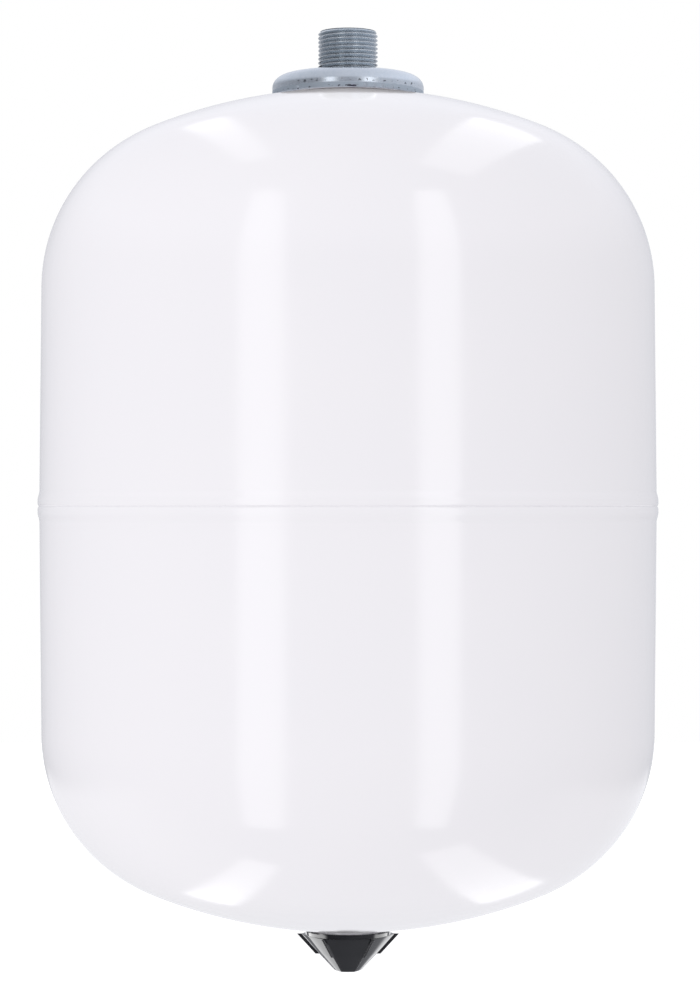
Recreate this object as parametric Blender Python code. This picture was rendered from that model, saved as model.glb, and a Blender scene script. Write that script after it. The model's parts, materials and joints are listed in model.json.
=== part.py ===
"""Expansion vessel: an 18 litre welded steel tank with a rubber bladder for the water.

The frame is +Z up, with the origin on the vessel's axis at the tip of the protective cap.
The water connection is at the top and the air valve at the bottom. All lengths are in metres.
"""
import math

import bmesh
import bpy
from mathutils import Vector

MM = 0.001
GAP = 0.3 * MM

# Segments round the axis.
TANK_SEGMENTS = 40
BLADDER_SEGMENTS = 32
FITTING_SEGMENTS = 36
VALVE_SEGMENTS = 20

# Tank: two drawn halves with torispherical ends, butted at the seam.
SEAM_Z = 204.9 * MM
UPPER_HEIGHT = 182.4 * MM
LOWER_HEIGHT = 186.0 * MM
SEAM_RADIUS = 135.5 * MM
KNUCKLE_TANK_RADIUS = 134.65 * MM
KNUCKLE_RADIUS = 75.0 * MM
CROWN_RADIUS = 230.0 * MM
SHELL_WALL = 1.5 * MM
RIM_FLARE = 0.8 * MM
RIM_HEIGHT = 5.0 * MM
RIM_CORNER = 1.2 * MM
KNUCKLE_STEPS = 6
CROWN_STEPS = 4

UPPER_APEX_Z = SEAM_Z + UPPER_HEIGHT
LOWER_APEX_Z = SEAM_Z - LOWER_HEIGHT

BACKING_RING_OUTER = SEAM_RADIUS - SHELL_WALL - GAP
BACKING_RING_WALL = 1.5 * MM
BACKING_RING_HALF_HEIGHT = 8.0 * MM

# Top fitting, upwards from the dome: neck ring, bladder lip and flange.
TOP_HOLE_RADIUS = 19.5 * MM
NECK_RING_INNER = 18.8 * MM
NECK_RING_OUTER = 30.5 * MM
NECK_RING_FOOT_RADIUS = 29.2 * MM
NECK_RING_TOP = UPPER_APEX_Z + 2.2 * MM
NECK_RING_EDGE = 1.3 * MM

LIP_THICKNESS = 2.5 * MM
LIP_RADIUS = 30.2 * MM

FLANGE_RADIUS = 33.4 * MM
FLANGE_WALL = 2.5 * MM
FLANGE_UNDERSIDE = NECK_RING_TOP + GAP + LIP_THICKNESS + GAP
FLANGE_TOP = FLANGE_UNDERSIDE + FLANGE_WALL
FLANGE_FLAT_RADIUS = 26.0 * MM
FLANGE_SHOULDER_DROP = 5.7 * MM
FLANGE_SHOULDER_STEPS = 5
FLANGE_RIM_BOTTOM = UPPER_APEX_Z - 1.5 * MM
FLANGE_RIM_CORNER = 0.5 * MM
FLANGE_HOLE_RADIUS = 12.5 * MM
FLANGE_HOLE_CHAMFER = 1.2 * MM
CRIMP_LIP_RADIUS = 29.8 * MM
CRIMP_LIP_THICKNESS = 1.2 * MM
CRIMP_BEVEL = 1.1 * MM
CORNER_BREAK = 0.4 * MM

# Water connection, G 3/4.
THREAD_MAJOR_RADIUS = 13.22 * MM
THREAD_ROOT_RADIUS = 12.06 * MM
THREAD_PITCH = 25.4 / 14.0 * MM
THREAD_LENGTH = 18.9 * MM
THREAD_BASE = FLANGE_TOP + GAP
THREAD_COLUMNS = 24
THREAD_ROWS_PER_TURN = 4
NIPPLE_TOP = THREAD_BASE + THREAD_LENGTH
NIPPLE_BORE_RADIUS = 9.8 * MM
NIPPLE_FOOT_RADIUS = 15.8 * MM
NIPPLE_FOOT_TOP = FLANGE_UNDERSIDE - GAP
NIPPLE_FOOT_THICKNESS = 2.3 * MM

LINER_OUTER = 9.5 * MM
LINER_INNER = 8.3 * MM
LINER_TOP = NIPPLE_TOP - 0.7 * MM
LINER_FOOT_TOP = NIPPLE_FOOT_TOP - NIPPLE_FOOT_THICKNESS - GAP
LINER_FOOT_THICKNESS = 0.9 * MM

GRID_TOP = LINER_FOOT_TOP - LINER_FOOT_THICKNESS - GAP
GRID_THICKNESS = 1.4 * MM
GRID_RADIUS = 15.8 * MM
GRID_HOLE_RADIUS = 1.8 * MM
GRID_HOLE_CIRCLE = 5.6 * MM
GRID_HOLES = 6

# Bladder: a bag of two half ellipsoids with a straight neck.
BLADDER_RADIUS = 95.0 * MM
BLADDER_BELLY_Z = 222.0 * MM
BLADDER_BOTTOM_Z = 86.0 * MM
BLADDER_WALL = 2.2 * MM
BLADDER_NECK_RADIUS = 18.4 * MM
BLADDER_NECK_BOTTOM = 381.0 * MM
BLADDER_STEPS = 5

# Bottom fitting: the collar with its valve well, and the spigot that holds the protective cap.
CAP_RIM_Z = 16.3 * MM
COLLAR_BOTTOM = CAP_RIM_Z + GAP
COLLAR_RADIUS = 16.8 * MM
SPIGOT_OUTER = 13.4 * MM
SPIGOT_INNER = 11.9 * MM
SPIGOT_BOTTOM = 12.6 * MM
WELL_INNER = 9.8 * MM
WELL_OUTER = 11.3 * MM
WELL_FLOOR_BOTTOM = 24.4 * MM
WELL_FLOOR_TOP = WELL_FLOOR_BOTTOM + 1.5 * MM
BOTTOM_HOLE_RADIUS = WELL_OUTER + GAP

# Protective cap: a six-sided, tapered cap with a fin on each corner and a round skirt above them.
CAP_SIDES = 6
CAP_TIP_RADIUS = 5.7 * MM
CAP_TIP_EDGE_RADIUS = 6.2 * MM
CAP_TIP_EDGE_Z = 0.4 * MM
CAP_WAIST_RADIUS = 12.9 * MM
CAP_WAIST_Z = 7.5 * MM
CAP_RIM_RADIUS = 20.8 * MM
FIN_RIM_RADIUS = 22.5 * MM
FIN_END_RADIUS = 14.4 * MM
FIN_THICKNESS = 1.1 * MM
CAP_BORE_RADIUS = SPIGOT_OUTER + GAP
CAP_BORE_BOTTOM = 12.3 * MM
CAP_FLOOR_RADIUS = 5.2 * MM
CAP_FLOOR_Z = 1.4 * MM
CAP_CAVITY_WAIST = 9.9 * MM
CAP_SKIRT_ROOT_RADIUS = 16.0 * MM
CAP_SKIRT_ROOT_Z = 14.0 * MM
CAP_SKIRT_FOOT_RADIUS = 18.3 * MM
CAP_SKIRT_RADIUS = 19.0 * MM
CAP_SKIRT_TOP = 18.2 * MM
CAP_SKIRT_BORE_RADIUS = COLLAR_RADIUS + GAP

# Tyre-type air valve.
STEM_RADIUS = 3.85 * MM
STEM_END_Z = 10.7 * MM
STEM_MOUTH_RADIUS = 2.7 * MM
STEM_MOUTH_TOP = 17.0 * MM
STEM_BORE_RADIUS = 1.95 * MM
STEM_BORE_START = 19.0 * MM
STEM_HOLE_RADIUS = 4.3 * MM
STEM_HEAD_RADIUS = 7.5 * MM
STEM_HEAD_THICKNESS = 1.8 * MM
STEM_TOP_RADIUS = 5.0 * MM
STEM_TOP_HEIGHT = 1.2 * MM

RING_INNER = 4.15 * MM
RING_OUTER = 7.5 * MM
GASKET_THICKNESS = 1.8 * MM
WASHER_THICKNESS = 1.2 * MM
NUT_ACROSS_FLATS = 12.0 * MM
NUT_THICKNESS = 3.7 * MM

PLUG_RADIUS = 2.4 * MM
PLUG_HOLE_RADIUS = 0.95 * MM
PLUG_BOTTOM = 11.5 * MM
PLUG_TOP = 15.6 * MM
KEY_FLAT_DISTANCE = 1.5 * MM
KEY_FLAT_HEIGHT = 1.6 * MM

BARREL_RADIUS = 1.6 * MM
BARREL_BORE_RADIUS = 1.25 * MM
BARREL_SEAT_RADIUS = 0.85 * MM
BARREL_BOTTOM = PLUG_TOP + GAP
BARREL_SEAT_Z = 20.9 * MM
BARREL_TOP = 21.9 * MM

SEAL_INNER = 1.75 * MM
SEAL_OUTER = 2.35 * MM
SEAL_TIP_OUTER = 2.0 * MM
SEAL_BOTTOM = 16.3 * MM
SEAL_SHOULDER = 17.1 * MM
SEAL_TOP = 18.1 * MM

PIN_RADIUS = 0.45 * MM
PIN_TIP_Z = 11.0 * MM
PIN_COLLAR_RADIUS = 1.0 * MM
PIN_COLLAR_BOTTOM = 16.3 * MM
PIN_COLLAR_TOP = 16.9 * MM
PAD_INNER = 0.72 * MM
PAD_OUTER = 1.45 * MM
PAD_THICKNESS = 0.5 * MM
CUP_THICKNESS = 0.8 * MM

SPRING_RADIUS = 0.8 * MM
SPRING_WIRE_RADIUS = 0.15 * MM
SPRING_TURNS = 5
SPRING_STEPS_PER_TURN = 10
SPRING_WIRE_SIDES = 5

DUST_CAP_RADIUS = 5.0 * MM
DUST_CAP_BOTTOM = 8.0 * MM
DUST_CAP_FLOOR = 1.1 * MM
DUST_CAP_MOUTH = 16.4 * MM
DUST_CAP_BORE_RADIUS = STEM_RADIUS + GAP
DUST_CAP_EDGE = 0.5 * MM
DUST_SEAL_RADIUS = 3.7 * MM


def clear_scene():
    for item in list(bpy.data.objects):
        bpy.data.objects.remove(item, do_unlink=True)


def make_material(name, colour, roughness, metallic=0.0):
    material = bpy.data.materials.new(name)
    material.use_nodes = True
    shader = material.node_tree.nodes["Principled BSDF"]
    shader.inputs["Base Color"].default_value = (*colour, 1.0)
    shader.inputs["Roughness"].default_value = roughness
    shader.inputs["Metallic"].default_value = metallic
    material.diffuse_color = (*colour, 1.0)
    return material


def add_object(name, bm, material, origin_z=0.0):
    """Turn a bmesh in vessel coordinates into an object whose origin is on the axis at origin_z."""
    bmesh.ops.recalc_face_normals(bm, faces=bm.faces[:])
    bmesh.ops.translate(bm, verts=bm.verts[:], vec=(0.0, 0.0, -origin_z))
    mesh = bpy.data.meshes.new(name)
    bm.to_mesh(mesh)
    bm.free()
    if material is not None:
        mesh.materials.append(material)
    item = bpy.data.objects.new(name, mesh)
    item.location = (0.0, 0.0, origin_z)
    bpy.context.scene.collection.objects.link(item)
    mesh.shade_smooth()
    mesh.set_sharp_from_angle(angle=math.radians(35.0))
    return item


def add_cutter(name, bm):
    cutter = add_object(name, bm, None)
    cutter.hide_render = True
    cutter.display_type = "WIRE"
    return cutter


def combine(item, tool, operation):
    modifier = item.modifiers.new(tool.name, "BOOLEAN")
    modifier.operation = operation
    modifier.solver = "EXACT"
    modifier.object = tool


def cut_with(item, cutter):
    combine(item, cutter, "DIFFERENCE")


def arc(centre, radius, start_degrees, end_degrees, steps):
    """Points (r, z) along an arc; 0 degrees points away from the axis and 90 degrees points up."""
    points = []
    for index in range(steps + 1):
        angle = math.radians(start_degrees + (end_degrees - start_degrees) * index / steps)
        points.append((centre[0] + radius * math.cos(angle), centre[1] + radius * math.sin(angle)))
    return points


def turned_mesh(outline, segments):
    """Spin an outline of (r, z) points round the Z axis.

    The outline is a closed loop, unless its first and last points are both on the axis.
    """
    bm = bmesh.new()
    verts = [bm.verts.new((radius, 0.0, height)) for radius, height in outline]
    for first, second in zip(verts, verts[1:]):
        bm.edges.new((first, second))
    on_axis = outline[0][0] == 0.0 and outline[-1][0] == 0.0
    if not on_axis:
        bm.edges.new((verts[-1], verts[0]))
    bmesh.ops.spin(bm, geom=bm.verts[:] + bm.edges[:], cent=(0.0, 0.0, 0.0), axis=(0.0, 0.0, 1.0),
                   angle=math.tau, steps=segments, use_merge=True)
    bmesh.ops.remove_doubles(bm, verts=bm.verts[:], dist=1e-7)
    return bm


def turned(name, outline, material, segments=FITTING_SEGMENTS, origin_z=0.0):
    return add_object(name, turned_mesh(outline, segments), material, origin_z)


def ring_outline(inner, outer, bottom, top):
    return [(inner, bottom), (outer, bottom), (outer, top), (inner, top)]


def dome_height(apex, radius):
    """Distance from the seam plane to a crowned end whose apex is that far away."""
    return apex - CROWN_RADIUS + math.sqrt(CROWN_RADIUS ** 2 - radius ** 2)


def upper_dome_z(radius):
    return SEAM_Z + dome_height(UPPER_HEIGHT, radius)


def lower_dome_z(radius):
    return SEAM_Z - dome_height(LOWER_HEIGHT, radius)


def head_curve(height, inset, hole_radius):
    """Points (r, distance from the seam) of one head's knuckle and crown, up to its hole.

    The curve is the outer surface moved inwards by inset.
    """
    knuckle_centre_r = KNUCKLE_TANK_RADIUS - KNUCKLE_RADIUS
    centre_distance = CROWN_RADIUS - KNUCKLE_RADIUS
    crown_to_knuckle = math.sqrt(centre_distance ** 2 - knuckle_centre_r ** 2)
    crown_centre = height - CROWN_RADIUS
    knuckle_centre = (knuckle_centre_r, crown_centre + crown_to_knuckle)
    tangent = math.degrees(math.atan2(crown_to_knuckle, knuckle_centre_r))
    crown = CROWN_RADIUS - inset
    hole_angle = math.degrees(math.acos(hole_radius / crown))
    points = arc(knuckle_centre, KNUCKLE_RADIUS - inset, 0.0, tangent, KNUCKLE_STEPS)
    points += arc((0.0, crown_centre), crown, tangent, hole_angle, CROWN_STEPS)[1:]
    return points


def rim_curve(inset):
    """The flared rim, from the seam up to the plain wall, as (r, distance from the seam)."""
    flared = SEAM_RADIUS + RIM_FLARE - inset
    plain = SEAM_RADIUS - inset
    start = GAP / 2.0
    return [
        (flared - RIM_FLARE / 2.0, start),
        (flared, start + RIM_CORNER),
        (flared, RIM_HEIGHT - RIM_CORNER),
        (plain, RIM_HEIGHT + RIM_CORNER / 2.0),
    ]


def shell_outline(height, hole_radius, direction):
    """Closed outline of one half of the tank; direction is 1 for the upper half, -1 for the lower."""
    outer = rim_curve(0.0) + head_curve(height, 0.0, hole_radius)
    inner = rim_curve(SHELL_WALL) + head_curve(height, SHELL_WALL, hole_radius)
    loop = outer + inner[::-1]
    return [(radius, SEAM_Z + direction * distance) for radius, distance in loop]


def make_tank(white, steel):
    turned("upper_shell", shell_outline(UPPER_HEIGHT, TOP_HOLE_RADIUS, 1), white, TANK_SEGMENTS)
    turned("lower_shell", shell_outline(LOWER_HEIGHT, BOTTOM_HOLE_RADIUS, -1), white, TANK_SEGMENTS)
    backing = ring_outline(BACKING_RING_OUTER - BACKING_RING_WALL, BACKING_RING_OUTER,
                           SEAM_Z - BACKING_RING_HALF_HEIGHT, SEAM_Z + BACKING_RING_HALF_HEIGHT)
    turned("seam_backing_ring", backing, steel, TANK_SEGMENTS)


def make_neck_ring(white):
    edge_z = NECK_RING_TOP - NECK_RING_EDGE
    bevel = NECK_RING_OUTER - NECK_RING_FOOT_RADIUS
    foot_z = upper_dome_z(NECK_RING_FOOT_RADIUS) + GAP
    middle = (NECK_RING_FOOT_RADIUS + NECK_RING_INNER) / 2.0
    outline = [
        (NECK_RING_INNER, NECK_RING_TOP),
        (NECK_RING_INNER, upper_dome_z(NECK_RING_INNER) + GAP),
        (middle, upper_dome_z(middle) + GAP),
        (NECK_RING_FOOT_RADIUS, foot_z),
        (NECK_RING_FOOT_RADIUS, edge_z - bevel),
        (NECK_RING_OUTER, edge_z),
        (NECK_RING_OUTER, NECK_RING_TOP),
    ]
    turned("neck_ring", outline, white)


def make_clamp_flange(zinc):
    """Dished disc whose rim is turned in under the neck ring."""
    inner_wall = FLANGE_RADIUS - FLANGE_WALL
    shoulder_width = FLANGE_RADIUS - FLANGE_FLAT_RADIUS
    shoulder = []
    for index in range(FLANGE_SHOULDER_STEPS + 1):
        angle = math.radians(90.0 * (1.0 - index / FLANGE_SHOULDER_STEPS))
        shoulder.append((FLANGE_FLAT_RADIUS + shoulder_width * math.cos(angle),
                         FLANGE_TOP - FLANGE_SHOULDER_DROP * (1.0 - math.sin(angle))))
    crimp_top = FLANGE_RIM_BOTTOM + CRIMP_LIP_THICKNESS
    hole_edge = [
        (FLANGE_HOLE_RADIUS, FLANGE_TOP - FLANGE_HOLE_CHAMFER),
        (FLANGE_HOLE_RADIUS + FLANGE_HOLE_CHAMFER, FLANGE_TOP),
    ]
    outline = hole_edge + shoulder + [
        (FLANGE_RADIUS, FLANGE_RIM_BOTTOM + FLANGE_RIM_CORNER),
        (FLANGE_RADIUS - FLANGE_RIM_CORNER, FLANGE_RIM_BOTTOM),
        (CRIMP_LIP_RADIUS, FLANGE_RIM_BOTTOM),
        (CRIMP_LIP_RADIUS, crimp_top),
        (inner_wall, crimp_top + CRIMP_BEVEL),
        (inner_wall, FLANGE_UNDERSIDE - CORNER_BREAK),
        (inner_wall - CORNER_BREAK, FLANGE_UNDERSIDE),
        (FLANGE_HOLE_RADIUS, FLANGE_UNDERSIDE),
    ]
    turned("clamp_flange", outline, zinc)


def thread_radius(angle, height):
    """Radius of the right-hand thread at a height above its first turn."""
    phase = (height / THREAD_PITCH - angle / math.tau) % 1.0
    crest = 0.5 - 0.5 * math.cos(math.tau * phase)
    run_out = min(1.0, height / THREAD_PITCH)
    radius = THREAD_ROOT_RADIUS + (THREAD_MAJOR_RADIUS - THREAD_ROOT_RADIUS) * crest * run_out
    end_chamfer = THREAD_ROOT_RADIUS + (THREAD_LENGTH - height)
    return min(radius, end_chamfer)


def make_connection_nipple(zinc):
    """Tube with a foot under the flange and a helical thread above it."""
    rows = round(THREAD_LENGTH / THREAD_PITCH * THREAD_ROWS_PER_TURN)
    foot_bottom = NIPPLE_FOOT_TOP - NIPPLE_FOOT_THICKNESS
    shank = THREAD_ROOT_RADIUS
    levels = [
        (NIPPLE_BORE_RADIUS, foot_bottom),
        (NIPPLE_FOOT_RADIUS, foot_bottom),
        (NIPPLE_FOOT_RADIUS, NIPPLE_FOOT_TOP),
        (shank, NIPPLE_FOOT_TOP),
    ]
    bm = bmesh.new()
    rings = []
    for radius, height in levels:
        rings.append([(radius, height)] * THREAD_COLUMNS)
    for row in range(rows + 1):
        rise = THREAD_LENGTH * row / rows
        ring = []
        for column in range(THREAD_COLUMNS):
            angle = math.tau * column / THREAD_COLUMNS
            ring.append((thread_radius(angle, rise), THREAD_BASE + rise))
        rings.append(ring)
    rings.append([(NIPPLE_BORE_RADIUS, NIPPLE_TOP)] * THREAD_COLUMNS)
    grid = []
    for ring in rings:
        line = []
        for column, (radius, height) in enumerate(ring):
            angle = math.tau * column / THREAD_COLUMNS
            line.append(bm.verts.new((radius * math.cos(angle), radius * math.sin(angle), height)))
        grid.append(line)
    for index, line in enumerate(grid):
        following = grid[(index + 1) % len(grid)]
        for column in range(THREAD_COLUMNS):
            after = (column + 1) % THREAD_COLUMNS
            bm.faces.new((line[column], line[after], following[after], following[column]))
    add_object("connection_nipple", bm, zinc)


def make_liner_and_grid(plastic):
    foot_bottom = LINER_FOOT_TOP - LINER_FOOT_THICKNESS
    liner = [
        (LINER_INNER, foot_bottom),
        (NIPPLE_FOOT_RADIUS, foot_bottom),
        (NIPPLE_FOOT_RADIUS, LINER_FOOT_TOP),
        (LINER_OUTER, LINER_FOOT_TOP),
        (LINER_OUTER, LINER_TOP),
        (LINER_INNER, LINER_TOP),
    ]
    turned("nipple_liner", liner, plastic)
    grid_bottom = GRID_TOP - GRID_THICKNESS
    disc = [(0.0, grid_bottom), (GRID_RADIUS, grid_bottom), (GRID_RADIUS, GRID_TOP), (0.0, GRID_TOP)]
    grid = turned("inlet_grid", disc, plastic)
    centres = [Vector((0.0, 0.0))]
    for index in range(GRID_HOLES):
        angle = math.tau * index / GRID_HOLES
        centres.append(GRID_HOLE_CIRCLE * Vector((math.cos(angle), math.sin(angle))))
    bm = bmesh.new()
    for centre in centres:
        made = bmesh.ops.create_cone(bm, cap_ends=True, segments=12, radius1=GRID_HOLE_RADIUS,
                                     radius2=GRID_HOLE_RADIUS, depth=3.0 * GRID_THICKNESS)
        place = (centre.x, centre.y, GRID_TOP - GRID_THICKNESS / 2.0)
        bmesh.ops.translate(bm, verts=made["verts"], vec=place)
    cut_with(grid, add_cutter("grid_hole_cutter", bm))


def bag_curve(inset, neck_radius):
    """Points (r, z) of the bag from its neck down to the bottom, moved inwards by inset."""
    radius = BLADDER_RADIUS - inset
    neck_share = BLADDER_NECK_RADIUS / BLADDER_RADIUS
    upper_half = (BLADDER_NECK_BOTTOM - BLADDER_BELLY_Z) / math.sqrt(1.0 - neck_share ** 2) - inset
    lower_half = BLADDER_BELLY_Z - BLADDER_BOTTOM_Z - inset
    neck_angle = math.acos(neck_radius / radius)
    points = []
    for index in range(BLADDER_STEPS):
        angle = neck_angle * (1.0 - index / BLADDER_STEPS)
        points.append((radius * math.cos(angle), BLADDER_BELLY_Z + upper_half * math.sin(angle)))
    for index in range(BLADDER_STEPS):
        angle = math.radians(90.0) * index / BLADDER_STEPS
        points.append((radius * math.cos(angle), BLADDER_BELLY_Z - lower_half * math.sin(angle)))
    points.append((0.0, BLADDER_BELLY_Z - lower_half))
    return points


def make_bladder(rubber):
    lip_bottom = NECK_RING_TOP + GAP
    lip_top = lip_bottom + LIP_THICKNESS
    neck_inner = BLADDER_NECK_RADIUS - BLADDER_WALL
    outer = bag_curve(0.0, BLADDER_NECK_RADIUS)
    inner = bag_curve(BLADDER_WALL, neck_inner)
    lip = [
        (neck_inner, lip_top),
        (LIP_RADIUS, lip_top),
        (LIP_RADIUS, lip_bottom),
        (BLADDER_NECK_RADIUS, lip_bottom),
    ]
    outline = inner[::-1] + lip + outer
    turned("bladder", outline, rubber, BLADDER_SEGMENTS, origin_z=lip_bottom)


def make_valve_collar(white):
    """Disc under the dome, with a well for the valve above and a spigot for the cap below."""
    middle = (COLLAR_RADIUS + WELL_OUTER) / 2.0
    outline = [
        (STEM_HOLE_RADIUS, WELL_FLOOR_BOTTOM),
        (WELL_INNER, WELL_FLOOR_BOTTOM),
        (WELL_INNER, COLLAR_BOTTOM),
        (SPIGOT_INNER, COLLAR_BOTTOM),
        (SPIGOT_INNER, SPIGOT_BOTTOM),
        (SPIGOT_OUTER, SPIGOT_BOTTOM),
        (SPIGOT_OUTER, COLLAR_BOTTOM),
        (COLLAR_RADIUS, COLLAR_BOTTOM),
        (COLLAR_RADIUS, lower_dome_z(COLLAR_RADIUS) - GAP),
        (middle, lower_dome_z(middle) - GAP),
        (WELL_OUTER, lower_dome_z(WELL_OUTER) - GAP),
        (WELL_OUTER, WELL_FLOOR_TOP),
        (STEM_HOLE_RADIUS, WELL_FLOOR_TOP),
    ]
    turned("valve_collar", outline, white)


def cap_corner(index, body_radius, fin_radius=None):
    """The points of one corner, seen from below: two on the body, or four with the fin's edge."""
    angle = math.tau * index / CAP_SIDES
    outward = Vector((math.cos(angle), math.sin(angle)))
    sideways = Vector((-outward.y, outward.x)) * FIN_THICKNESS / 2.0
    first = outward * body_radius - sideways
    last = outward * body_radius + sideways
    if fin_radius is None:
        return [first, last]
    return [first, outward * fin_radius - sideways, outward * fin_radius + sideways, last]


def cap_ring(bm, height, body_radius, fin_radius=None):
    corners = []
    for index in range(CAP_SIDES):
        points = cap_corner(index, body_radius, fin_radius)
        corners.append([bm.verts.new((point.x, point.y, height)) for point in points])
    return corners


def make_protective_cap(black):
    bm = bmesh.new()
    tip = cap_ring(bm, 0.0, CAP_TIP_RADIUS)
    edge = cap_ring(bm, CAP_TIP_EDGE_Z, CAP_TIP_EDGE_RADIUS)
    waist = cap_ring(bm, CAP_WAIST_Z, CAP_WAIST_RADIUS, FIN_END_RADIUS)
    rim = cap_ring(bm, CAP_RIM_Z, CAP_RIM_RADIUS, FIN_RIM_RADIUS)
    for lower, upper in ((tip, edge), (edge, waist)):
        for index in range(CAP_SIDES):
            after = (index + 1) % CAP_SIDES
            low = (lower[index][0], lower[index][-1], lower[after][0])
            high = (upper[index][0], upper[index][-1], upper[after][0])
            bm.faces.new((low[0], low[1], high[1], high[0]))
            bm.faces.new((low[1], low[2], high[2], high[1]))
    for index in range(CAP_SIDES):
        after = (index + 1) % CAP_SIDES
        low = waist[index] + [waist[after][0]]
        high = rim[index] + [rim[after][0]]
        for step in range(len(low) - 1):
            bm.faces.new((low[step], low[step + 1], high[step + 1], high[step]))
        bm.faces.new(waist[index])
    bm.faces.new([vert for corner in tip for vert in corner])
    bm.faces.new([vert for corner in rim for vert in corner])
    cap = add_object("protective_cap", bm, black, origin_z=CAP_RIM_Z)
    skirt = [
        (0.0, CAP_SKIRT_ROOT_Z),
        (CAP_SKIRT_ROOT_RADIUS, CAP_SKIRT_ROOT_Z),
        (CAP_SKIRT_FOOT_RADIUS, CAP_RIM_Z),
        (CAP_SKIRT_RADIUS, CAP_SKIRT_TOP),
        (0.0, CAP_SKIRT_TOP),
    ]
    combine(cap, add_cutter("cap_skirt_tool", turned_mesh(skirt, FITTING_SEGMENTS)), "UNION")
    cavity = [
        (0.0, CAP_FLOOR_Z),
        (CAP_FLOOR_RADIUS, CAP_FLOOR_Z),
        (CAP_CAVITY_WAIST, CAP_WAIST_Z),
        (CAP_BORE_RADIUS, CAP_BORE_BOTTOM),
        (CAP_BORE_RADIUS, CAP_RIM_Z),
        (CAP_SKIRT_BORE_RADIUS, CAP_RIM_Z),
        (CAP_SKIRT_BORE_RADIUS, CAP_SKIRT_TOP + MM),
        (0.0, CAP_SKIRT_TOP + MM),
    ]
    cut_with(cap, add_cutter("cap_cavity_cutter", turned_mesh(cavity, FITTING_SEGMENTS)))


def make_valve_stem(brass):
    head_bottom = WELL_FLOOR_TOP + GAP + GASKET_THICKNESS + GAP
    head_top = head_bottom + STEM_HEAD_THICKNESS
    stem_top = head_top + STEM_TOP_HEIGHT
    outline = [
        (STEM_MOUTH_RADIUS, STEM_END_Z),
        (STEM_RADIUS - CORNER_BREAK, STEM_END_Z),
        (STEM_RADIUS, STEM_END_Z + CORNER_BREAK),
        (STEM_RADIUS, head_bottom),
        (STEM_HEAD_RADIUS, head_bottom),
        (STEM_HEAD_RADIUS, head_top),
        (STEM_TOP_RADIUS, head_top),
        (STEM_TOP_RADIUS, stem_top),
        (STEM_BORE_RADIUS, stem_top),
        (STEM_BORE_RADIUS, STEM_BORE_START),
        (STEM_MOUTH_RADIUS, STEM_MOUTH_TOP),
    ]
    turned("valve_stem", outline, brass, VALVE_SEGMENTS)


def make_valve_clamp(rubber, steel, brass):
    """Gasket above the well's floor, and washer and nut below it."""
    gasket_bottom = WELL_FLOOR_TOP + GAP
    gasket = ring_outline(RING_INNER, RING_OUTER, gasket_bottom, gasket_bottom + GASKET_THICKNESS)
    turned("valve_gasket", gasket, rubber, VALVE_SEGMENTS)
    washer_top = WELL_FLOOR_BOTTOM - GAP
    washer_bottom = washer_top - WASHER_THICKNESS
    turned("valve_washer", ring_outline(RING_INNER, RING_OUTER, washer_bottom, washer_top),
           steel, VALVE_SEGMENTS)
    nut_top = washer_bottom - GAP
    nut_middle = nut_top - NUT_THICKNESS / 2.0
    corner_radius = NUT_ACROSS_FLATS / 2.0 / math.cos(math.radians(30.0))
    bm = bmesh.new()
    bmesh.ops.create_cone(bm, cap_ends=True, segments=6, radius1=corner_radius,
                          radius2=corner_radius, depth=NUT_THICKNESS)
    bmesh.ops.translate(bm, verts=bm.verts[:], vec=(0.0, 0.0, nut_middle))
    nut = add_object("valve_nut", bm, brass)
    bore = ring_outline(0.0, RING_INNER, nut_middle - NUT_THICKNESS, nut_middle + NUT_THICKNESS)
    cut_with(nut, add_cutter("nut_bore_cutter", turned_mesh(bore, VALVE_SEGMENTS)))


def make_core_plug(brass):
    """Outer piece of the core, with two flats for the valve key at its open end."""
    outline = ring_outline(PLUG_HOLE_RADIUS, PLUG_RADIUS, PLUG_BOTTOM, PLUG_TOP)
    plug = turned("core_plug", outline, brass, VALVE_SEGMENTS)
    bm = bmesh.new()
    for side in (-1.0, 1.0):
        made = bmesh.ops.create_cube(bm, size=1.0)
        block = Vector((PLUG_RADIUS, 4.0 * PLUG_RADIUS, 2.0 * KEY_FLAT_HEIGHT))
        bmesh.ops.scale(bm, verts=made["verts"], vec=block)
        place = (side * (KEY_FLAT_DISTANCE + PLUG_RADIUS / 2.0), 0.0, PLUG_BOTTOM)
        bmesh.ops.translate(bm, verts=made["verts"], vec=place)
    cut_with(plug, add_cutter("key_flat_cutter", bm))


def make_core_barrel(brass):
    outline = [
        (BARREL_BORE_RADIUS, BARREL_BOTTOM),
        (BARREL_RADIUS, BARREL_BOTTOM),
        (BARREL_RADIUS, BARREL_TOP),
        (BARREL_SEAT_RADIUS, BARREL_TOP),
        (BARREL_SEAT_RADIUS, BARREL_SEAT_Z),
        (BARREL_BORE_RADIUS, BARREL_SEAT_Z),
    ]
    turned("core_barrel", outline, brass, VALVE_SEGMENTS)


def make_core_seal(sealing):
    outline = [
        (SEAL_INNER, SEAL_BOTTOM),
        (SEAL_OUTER, SEAL_BOTTOM),
        (SEAL_OUTER, SEAL_SHOULDER),
        (SEAL_TIP_OUTER, SEAL_TOP),
        (SEAL_INNER, SEAL_TOP),
    ]
    turned("core_seal", outline, sealing, VALVE_SEGMENTS)


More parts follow.
